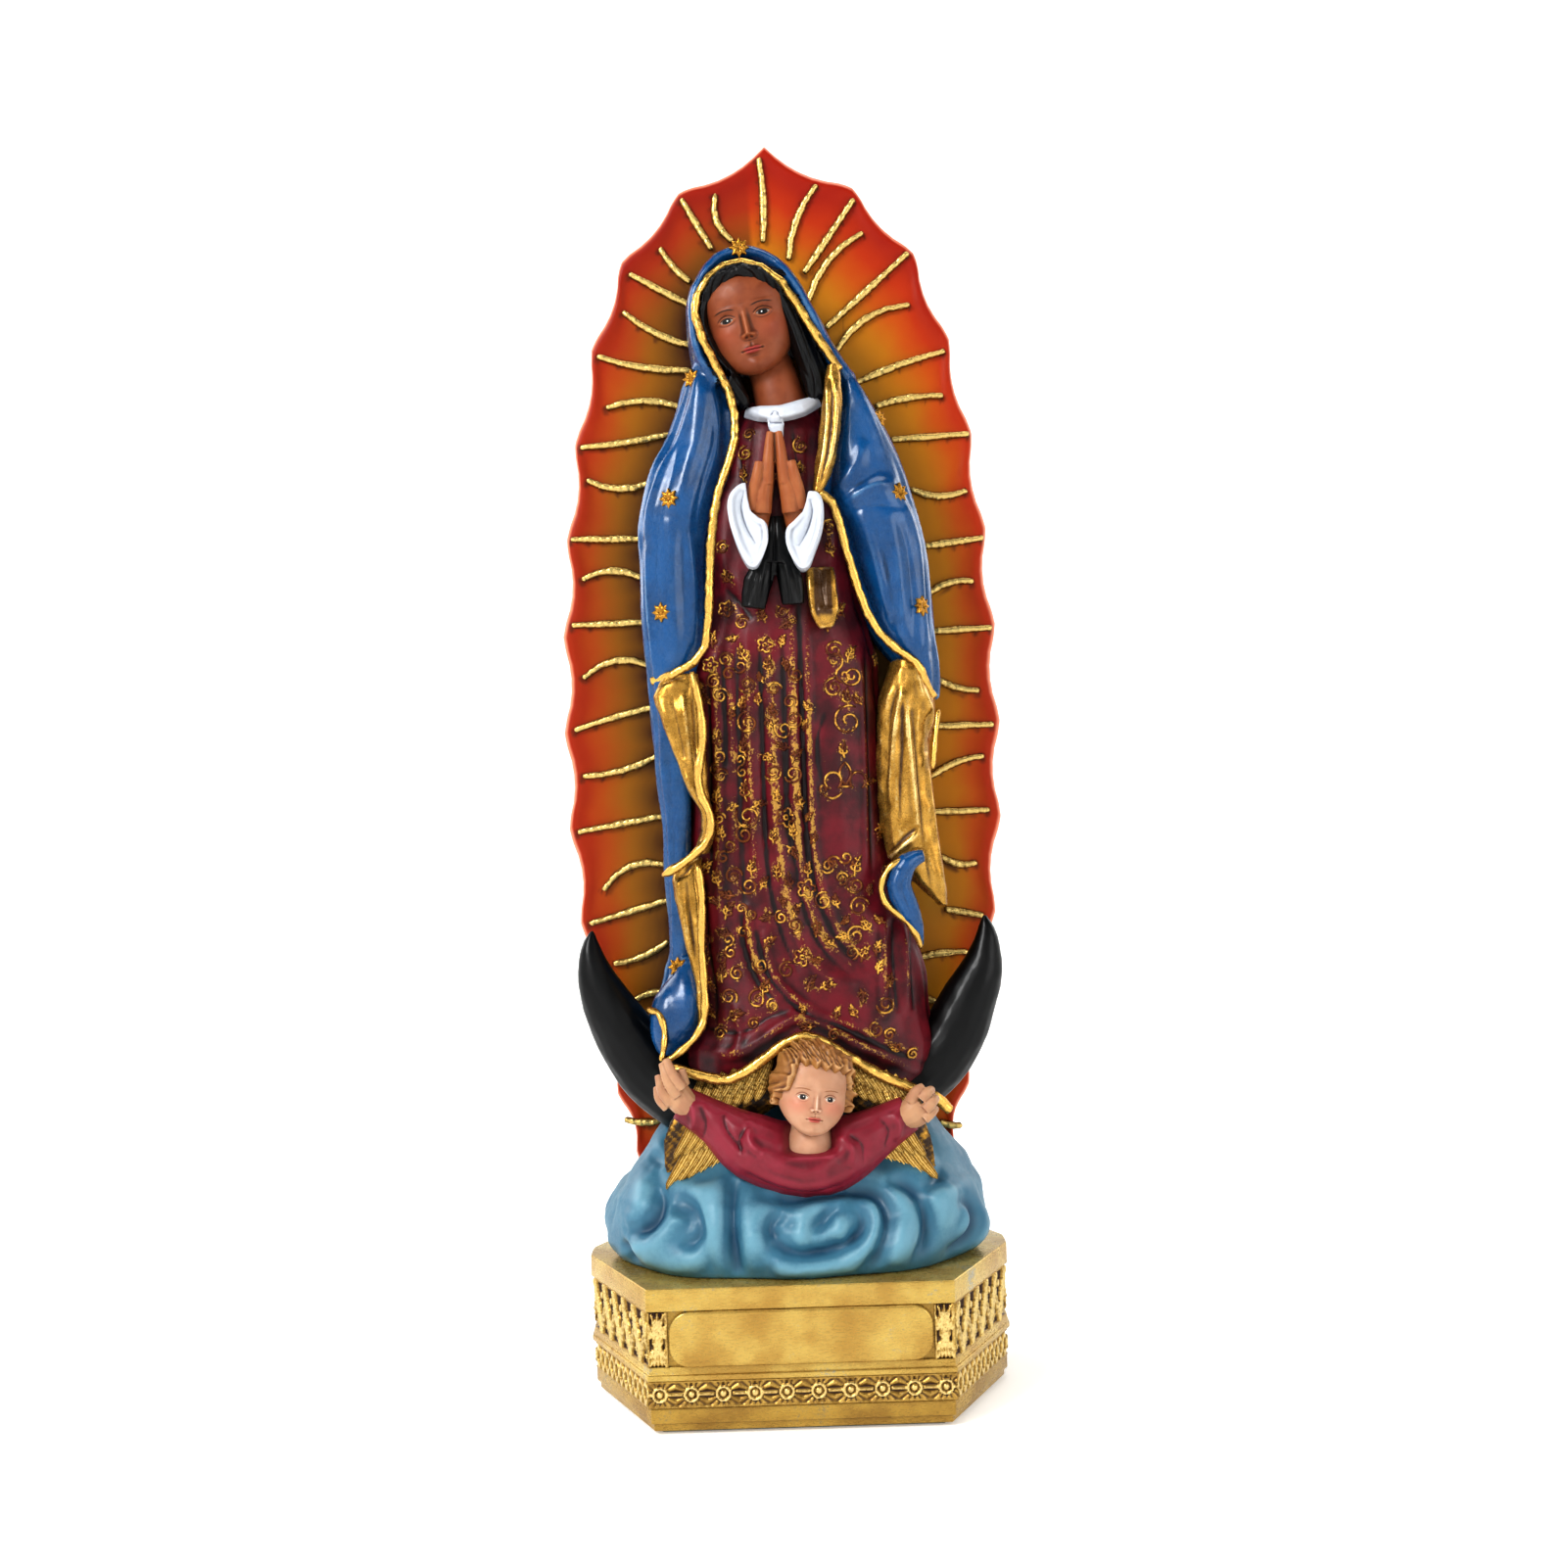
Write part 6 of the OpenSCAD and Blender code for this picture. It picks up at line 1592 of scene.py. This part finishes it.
def makeWing(name, nodeName, rows):
    places, faces, relief = [], [], []
    for count, root0, tip0, root1, tip1, width, bow in rows:
        for k in range(count):
            t = k / (count - 1)
            root = np.array(root0) * (1 - t) + np.array(root1) * t
            tip = np.array(tip0) * (1 - t) + np.array(tip1) * t
            own, skin = feather(root - [0, 0.06 * k, 0], tip - [0, 0.12 * k, 0], width, bow)
            start = sum(len(part) for part in places)
            faces += [tuple(j + start for j in face) for face in skin]
            places.append(own)
            relief.append(np.tile([np.clip(-b * 1.9 - 0.55, -1, 1) for _, b in blade],
                                  len(own) // len(blade)))
    obj = fromData(name, np.concatenate(places), faces)
    outwards(obj)
    note(obj, "relief", np.concatenate(relief))
    core = sculpted("wing_core", [nodeName], 0.5, 2)
    where, out = spots(core), facing(core)
    moveTo(core, where - out * 0.6)
    # the core lies low under the feathers, so that it takes painted shade in the gaps
    note(core, "relief", -0.35 + 0.5 * ripple(where, 1.6, 31))
    obj = joined(name, [obj, core])
    obj.data.shade_smooth()
    show(obj, "wing_gold", finish["featherGold"], nodeName)


def makeHorns():
    for nodeName, name in (("crescent_left_horn", "left_horn"), ("crescent_right_horn", "right_horn")):
        obj = sculpted(name, [nodeName], 0.55, 14)
        where, out = spots(obj), facing(obj)
        moveTo(obj, where + out * (0.22 * ripple(where, 18, 41) + 0.05 * ripple(where, 5, 42))[:, None])
        noteRelief(obj, 12, 0.15)
        show(obj, "crescent_black", finish["blackEnamel"], nodeName)


makeTunic()
makeAngelHands()
makeWing("left_wing_feathers", "angel_left_wing", flights["left"])
makeWing("right_wing_feathers", "angel_right_wing", flights["right"])
makeHorns()
print("angel and crescent made")

# cloud


cloudGrooves = [  # depth, width, points; a roll of cloud stands up on the outer side of each
    (-2.6, 1.5, [(-5.6, 43), (-5, 40.4), (-1, 38), (5, 37.8), (11, 39.6), (14.4, 43), (13.4, 46.4),
                 (10, 47.4)]),
    (-1.8, 1.2, [(-2.8, 45.8), (-5, 45), (-5.8, 43), (-4.6, 41.6)]),
    (-1.9, 1.2, [(4.4, 41.6), (5.6, 44.6), (8.4, 46.6), (11, 45.8)]),
    (-2.4, 1.5, [(-9, 50), (-3, 49), (4, 49.4), (11, 50.2), (17.6, 48.6), (19.8, 44), (17.6, 37.4),
                 (12.6, 33)]),
    (-2.4, 1.4, [(-13.6, 53), (-14.6, 47), (-14.4, 40), (-13.4, 33)]),
    (-2.2, 1.3, [(-28.4, 46.6), (-25.4, 48), (-22.2, 46.4), (-21.2, 43), (-23, 40.2), (-26, 39.6)]),
    (-1.7, 1.1, [(-28, 46.4), (-25, 45.6), (-24, 43.6), (-25.4, 42)]),
    (-2.4, 1.4, [(-39.6, 40.4), (-35, 41.8), (-31.2, 45.4), (-30, 50)]),
    (-1.9, 1.2, [(-40.6, 37.6), (-38, 36.4), (-37.4, 33.4)]),
    (-2.0, 1.3, [(19.6, 51), (25.4, 49.6), (28.4, 45), (28.2, 39.4), (25, 34.6)]),
    (-1.7, 1.2, [(33.6, 51.6), (30, 49.6), (28, 50.4)]),
    (-2.0, 1.2, [(35.6, 44.6), (37.6, 45.4), (40, 43.6), (40.4, 40), (38, 36.6), (33, 34.6)]),
    (-1.4, 1.0, [(-34, 55.4), (-32, 55.6), (-30.4, 54)]),
    (-1.3, 1.2, [(-30, 60), (-27.6, 56), (-24, 52)]),
]
cloudRolls = [
    (1.6, 4.2, [(-6, 33.6), (2, 32.8), (9, 34.4), (14, 38)]), (1.3, 3.4, [(-1, 41.8), (2.4, 41.6)]),
    (1.4, 3.2, [(8.4, 42.6), (11, 42.8)]), (1.5, 3.6, [(-34, 37), (-27, 35.4), (-20, 36.4)]),
    (1.4, 3.4, [(23, 44), (23.6, 39), (20.6, 34.4)]), (1.4, 3.4, [(33, 40), (34, 44), (33, 48)]),
    (1.2, 3.0, [(-36, 46), (-35, 50), (-33, 53)]), (1.3, 3.2, [(-18, 42), (-18.6, 48), (-20, 52)]),
]


def puffed(flat, grooves, rolls):  # grooves with a soft roll of cloud swelling along both banks
    total = np.zeros(len(flat))
    for depth, width, points in grooves:
        gap, along, _ = awayFrom(flat, throughPoints(points), 12)
        fade = np.sqrt(np.clip(np.sin(math.pi * along), 0, 1))
        rim = 0.5 * depth * np.exp(-((gap - 3.3) / 2.1) ** 2)
        total += fade * (depth * np.exp(-(gap / width) ** 2) - rim)
    return np.clip(total + folded(flat, rolls), -3.4, 2.2)


def makeCloud():
    obj = sculpted("cloud_bank", ["cloud"], 0.6, 16)
    places, out = spots(obj), facing(obj)
    front = eased(-0.3, 0.5, -out[:, 1])
    back = eased(-0.3, 0.5, out[:, 1])
    flank = np.clip(1 - front - back, 0, 1)
    ahead = puffed(places[:, [0, 2]], cloudGrooves, cloudRolls)
    behind = puffed(places[:, [0, 2]] * [-1, 1], cloudGrooves, cloudRolls)
    beside = puffed(np.stack([places[:, 1] * 1.1 + 6, places[:, 2]], 1), cloudGrooves[:6], [])
    lift = front * ahead + back * behind + 0.7 * flank * beside
    lift = lift * eased(32.2, 34.5, places[:, 2])
    moveTo(obj, places + out * blurred(lift, links(obj), 6)[:, None])
    settle(obj, 3)
    # the grooves take painted shade and the rolls a painted highlight
    note(obj, "relief", np.clip(blurred(lift, links(obj), 3) * 0.55 + 0.1, -1, 1))
    show(obj, "cloud_blue", finish["cloudAcrylic"], "cloud")


makeCloud()
print("cloud made")

# plinth

plinth = {"front": 67.4, "foot": 6.0, "frieze": 15.0, "friezeH": 12.0, "band": 6.0, "proud": 1.0,
          "step": 0.26}
corner = {"x": 33.7, "y": 40.0}


def leafHeight(u, v, x, z, angle, length, width, rise):  # an acanthus leaf: lobes, ribs and a stem
    c, s = math.cos(math.radians(angle)), math.sin(math.radians(angle))
    a = ((u - x) * c + (v - z) * s) / length
    b = -(u - x) * s + (v - z) * c
    inside = np.clip(a, 0.001, 0.999)
    lobes = 1 + 0.22 * np.sin(inside * 2 * math.pi * 4.5)
    half = width * np.sin(math.pi * inside ** 0.75) ** 0.65 * lobes + 1e-6
    dome = np.sqrt(np.clip(1 - (b / half) ** 2, 0, 1))
    ribs = 0.16 * np.sin(2 * math.pi * (inside * 5.5 - 0.9 * np.abs(b) / width))
    stem = 0.22 * np.exp(-(b / 0.22) ** 2)
    trench = 0.18 * np.exp(-((np.abs(b) - 0.3) / 0.14) ** 2)
    height = rise * (0.35 + 0.65 * dome) + ribs * dome - trench + stem
    return np.where((a > 0) & (a < 1) & (dome > 0), height, -1)


def friezeHeight(u, v, wide, tall):  # leaning leaves, crossing low leaves and buds
    total = -0.95 + 0.4 * np.cos(u * 4.2 + 1.5 * np.sin(v * 1.4)) * np.cos(v * 2.9 + np.sin(u * 1.7))
    pitch = wide / 5.4
    for k in range(-1, 7):
        x = (k - 0.5) * pitch
        total = np.maximum(total, leafHeight(u, v, x + 0.6, 0.2, 66, tall * 1.04, 1.45, 1.0))
        total = np.maximum(total, leafHeight(u, v, x + 1.2, 0.2, 112, tall * 0.7, 1.2, 0.6))
        total = np.maximum(total, leafHeight(u, v, x + 0.2, 0.2, 30, tall * 0.42, 1.0, 0.5))
        total = np.maximum(total, leafHeight(u, v, x + 6.2, tall - 0.2, 236, tall * 0.66, 1.2, 0.65))
        total = np.maximum(total, leafHeight(u, v, x + 4.4, tall - 0.2, 286, tall * 0.42, 0.9, 0.5))
        bud = np.hypot(u - x - 0.4, v - tall * 0.76)
        total = np.maximum(total, np.where(bud < 0.9, 0.3 + 0.5 * np.sqrt(np.clip(1 - bud ** 2 / 0.81, 0,
                1)), -0.9))
    rim = np.minimum(v, tall - v)
    return np.maximum(total, np.where(rim < 0.45, 0.25, -0.9))


def latticeHeight(u, v, wide, tall):  # two rows of openwork lozenges under small leaves
    total = np.full(u.shape, -0.8)
    pitch = 3.3
    middle = tall / 2
    for sign in (1, -1):
        wave = middle + sign * (tall * 0.36) * np.sin(2 * math.pi * u / (2 * pitch))
        gap = np.abs(v - wave)
        total = np.maximum(total, np.where(gap < 0.75, 0.7 * np.sqrt(np.clip(1 - (gap / 0.75) ** 2, 0, 1)),
                                           -0.8))
    for k in range(int(wide / pitch) + 2):
        knot = np.hypot(u - k * pitch, (v - middle))
        total = np.maximum(total, np.where(knot < 0.95,
                                           0.85 * np.sqrt(np.clip(1 - (knot / 0.95) ** 2, 0, 1)), -0.8))
        for z in (0.9, tall - 0.9):
            fan = np.hypot(u - (k + 0.5) * pitch, (v - z) * 1.2)
            ribs = 0.12 * np.cos(9 * np.arctan2(v - z, u - (k + 0.5) * pitch))
            total = np.maximum(total, np.where(fan < 0.9, 0.45 + ribs, -0.8))
    rim = np.minimum(v, tall - v)
    return np.maximum(total, np.where(rim < 0.3, 0.35, -0.8))


def beadHeight(u, v, wide, tall):  # ringed bosses joined by bars, each in a spray of ribs
    total = np.full(u.shape, -0.75)
    count = 10
    pitch = (wide - 5) / (count - 1)
    across = (u - 2.5) / pitch
    near = (across - np.round(across)) * pitch
    inEnd = (u > 2.5 - pitch / 2) & (u < wide - 2.5 + pitch / 2)
    up = v - tall / 2
    away = np.hypot(near, up)
    angle = np.arctan2(up, near)
    spray = 0.35 + 0.42 * np.cos(14 * angle)
    total = np.where((away > 1.9) & (np.abs(up) > 0.55), np.maximum(total, spray - 0.35), total)
    total = np.where((np.abs(up) < 0.42) & (away > 1.9),
                     0.35 * np.sqrt(1 - np.clip(up / 0.42, -1, 1) ** 2) + 0.2, total)
    ring = np.abs(away - 1.45)
    total = np.where(inEnd & (away <= 1.8), -0.5, total)
    total = np.where(inEnd & (ring < 0.34), 0.4 + 0.6 * np.sqrt(np.clip(1 - (ring / 0.34) ** 2, 0, 1)), total)
    total = np.where(inEnd & (away <= 0.85), -0.2 + 1.1 * np.sqrt(np.clip(1 - (away / 0.86) ** 2, 0, 1)),
                     total)
    rim = np.minimum(v, tall - v)
    return np.where(rim < 0.3, np.maximum(total, 0.3), total)


def fanHeight(u, v, wide, tall):  # a ribbed fan that stands beside the cartouche
    middle = wide / 2
    total = -0.7 + 0.4 * np.cos((u - middle) * 5.5 - v * 0.5) * np.cos(v * 2.2)
    for lean, x in ((68, 0.5), (79, 1.3), (90, 2.2), (101, 3.1), (112, 3.9)):
        total = np.maximum(total, leafHeight(u, v, x, 0.2, lean, tall * 0.98, 0.7, 0.5))
    for lean, x, z in ((48, 0.3, 2.0), (132, 4.1, 2.0), (60, 0.4, 6.2), (120, 4.0, 6.2)):
        total = np.maximum(total, leafHeight(u, v, x, z, lean, tall * 0.4, 0.8, 0.75))
    bar = np.minimum(np.abs(u - 0.25), np.abs(u - wide + 0.25))
    return np.maximum(total, np.where(bar < 0.3, 0.45, -1.1))


def carvedStrip(wide, tall, base, heightOf, step, place):  # a carved slab: relief in front, flat behind
    across, upright = int(wide / step) + 1, int(tall / step) + 1
    u, v = np.meshgrid(np.linspace(0, wide, across), np.linspace(0, tall, upright))
    out = heightOf(u, v, wide, tall)
    flat = np.stack([u.ravel(), 0.24 - (out.ravel() + 1.15) * 0.58, v.ravel() + base], 1)
    edge = ([(0, j) for j in range(across)] + [(i, across - 1) for i in range(1, upright)]
            + [(upright - 1, j) for j in range(across - 2, -1, -1)] + [(i, 0) for i in range(upright - 2, 0,
                    -1)])
    rim = [i * across + j for i, j in edge]
    behind = flat[rim].copy()
    behind[:, 1] = 1.4
    faces = [(i * across + j, i * across + j + 1, (i + 1) * across + j + 1, (i + 1) * across + j)
             for i in range(upright - 1) for j in range(across - 1)]
    first = len(flat)
    count = len(rim)
    faces += [(rim[(k + 1) % count], rim[k], first + k, first + (k + 1) % count) for k in range(count)]
    faces.append(tuple(first + k for k in range(count)))
    places = np.concatenate([flat, behind])
    relief = np.concatenate([np.clip(out.ravel() * 1.3 + 0.1, -1, 1), np.full(count, -1.0)])
    turned = np.array([place @ Vector(p) for p in places])
    return turned, faces, relief


def makeCarving():
    angle = math.atan2(36, 15.6)
    length = math.hypot(36, 15.6)
    inset = 0.9
    strips = []
    for mirrorX in (1, -1):
        for mirrorY in (1, -1):
            flip = Matrix.Diagonal((mirrorX, mirrorY, 1, 1))
            place = (flip @ Matrix.Translation((corner["x"] , -corner["y"], 0))
                     @ Matrix.Rotation(angle, 4, "Z") @ Matrix.Translation((0.6, inset, 0)))
            strips.append((length - 2.4, plinth["friezeH"] - 0.1, plinth["frieze"], friezeHeight, place))
            strips.append((length - 2.4, plinth["band"] - 0.2, plinth["foot"] + 0.1, latticeHeight, place))
    for turn in (0, math.pi):
        base = Matrix.Rotation(turn, 4, "Z") @ Matrix.Translation((-corner["x"], -corner["y"] + inset, 0))
        strips.append((plinth["front"], plinth["band"] - 0.2, plinth["foot"] + 0.1, beadHeight, base))
        for x in (0.2, plinth["front"] - 4.6):
            strips.append((4.4, plinth["friezeH"] - 0.1, plinth["frieze"], fanHeight,
                           base @ Matrix.Translation((x, 0, 0))))
    made = {"plinth_beads": [], "plinth_lattice": [], "plinth_leaves": []}
    owner = {beadHeight: "plinth_beads", latticeHeight: "plinth_lattice", friezeHeight: "plinth_leaves",
             fanHeight: "plinth_leaves"}
    for wide, tall, base, heightOf, place in strips:
        made[owner[heightOf]].append(carvedStrip(wide, tall, base, heightOf, plinth["step"] * coarse, place))
    names = {"plinth_beads": "bead_band", "plinth_lattice": "lattice_band",
             "plinth_leaves": "acanthus_frieze"}
    for nodeName, parts in made.items():
        faces, start = [], 0
        for places, own, _ in parts:
            faces += [tuple(k + start for k in face) for face in own]
            start += len(places)
        obj = fromData(names[nodeName], np.concatenate([p[0] for p in parts]), faces)
        outwards(obj)
        note(obj, "relief", np.concatenate([p[2] for p in parts]))
        obj.data.shade_smooth()
        show(obj, "plinth_gold", finish["carvedGold"], nodeName)


def makeSlab(name, nodeName, slotName, material, width):  # a cast slab with its edges just softened
    obj = castOf(name, nodeName)
    build = bmesh.new()
    build.from_mesh(obj.data)
    bmesh.ops.dissolve_limit(build, angle_limit=math.radians(1), verts=build.verts, edges=build.edges)
    build.to_mesh(obj.data)
    build.free()
    applied(obj, "BEVEL", width=width * mm, segments=3, limit_method="ANGLE", angle_limit=math.radians(20))
    alone(obj)
    bpy.ops.object.shade_smooth_by_angle(angle=math.radians(32))
    note(obj, "relief", np.zeros(len(obj.data.vertices)))
    show(obj, slotName, material, nodeName)


def makeCore():
    node = nodes["plinth_core"]
    node.data.materials.clear()
    node.data.materials.append(finish["plinthFoot"])


def makePlate():
    obj = castOf("blank_cartouche", "name_plate")
    build = bmesh.new()
    build.from_mesh(obj.data)
    bmesh.ops.dissolve_limit(build, angle_limit=math.radians(1), verts=build.verts, edges=build.edges)
    build.to_mesh(obj.data)
    build.free()
    applied(obj, "BEVEL", width=0.5 * mm, segments=3, limit_method="ANGLE", angle_limit=math.radians(40))
    applied(obj, "REMESH", mode="VOXEL", voxel_size=0.3 * coarse * mm)
    settle(obj, 1)
    places, out = spots(obj), facing(obj)
    moveTo(obj, places + out * (0.05 * ripple(places, 10, 62))[:, None])
    noteRelief(obj, 4, 0.1)
    obj.data.shade_smooth()
    show(obj, "plinth_gold", finish["plinthGold"], "name_plate")


def makeBeading():  # a row of fine beads under the cartouche
    bpy.ops.object.select_all(action="DESELECT")
    bpy.ops.mesh.primitive_ico_sphere_add(subdivisions=1, radius=0.3 * mm, location=(0, 0, 0))
    seed = bpy.context.active_object
    parts, faces, count = [], [], 0
    ball = spots(seed)
    shape = [tuple(p.vertices) for p in seed.data.polygons]
    bpy.data.objects.remove(seed)
    for x in np.arange(-26.5, 26.6, 0.62):
        parts.append(ball * [1, 1, 1] + [x, -39.0, plinth["frieze"] + 0.15])
        faces += [tuple(k + count for k in face) for face in shape]
        count += len(ball)
    obj = fromData("cartouche_beading", np.concatenate(parts), faces)
    note(obj, "relief", np.full(count, 0.3))
    obj.data.shade_smooth()
    show(obj, "plinth_gold", finish["carvedGold"])


makeSlab("plinth_foot_slab", "plinth_foot", "plinth_gold", finish["plinthFoot"], 0.35)
makeSlab("plinth_fillets", "plinth_moulding", "plinth_gold", finish["plinthGold"], 0.25)
makeSlab("plinth_top_slab", "plinth_top", "plinth_top_gold", finish["plinthGold"], 0.35)
makeCore()
makePlate()
makeBeading()
makeCarving()
for name in ("felt_pad",):
    nodes[name].data.materials.clear()
    nodes[name].data.materials.append(finish["felt"])
for name in ("base_dowels", "panel_dowels"):
    nodes[name].data.materials.clear()
    nodes[name].data.materials.append(finish["steel"])
print("plinth made")
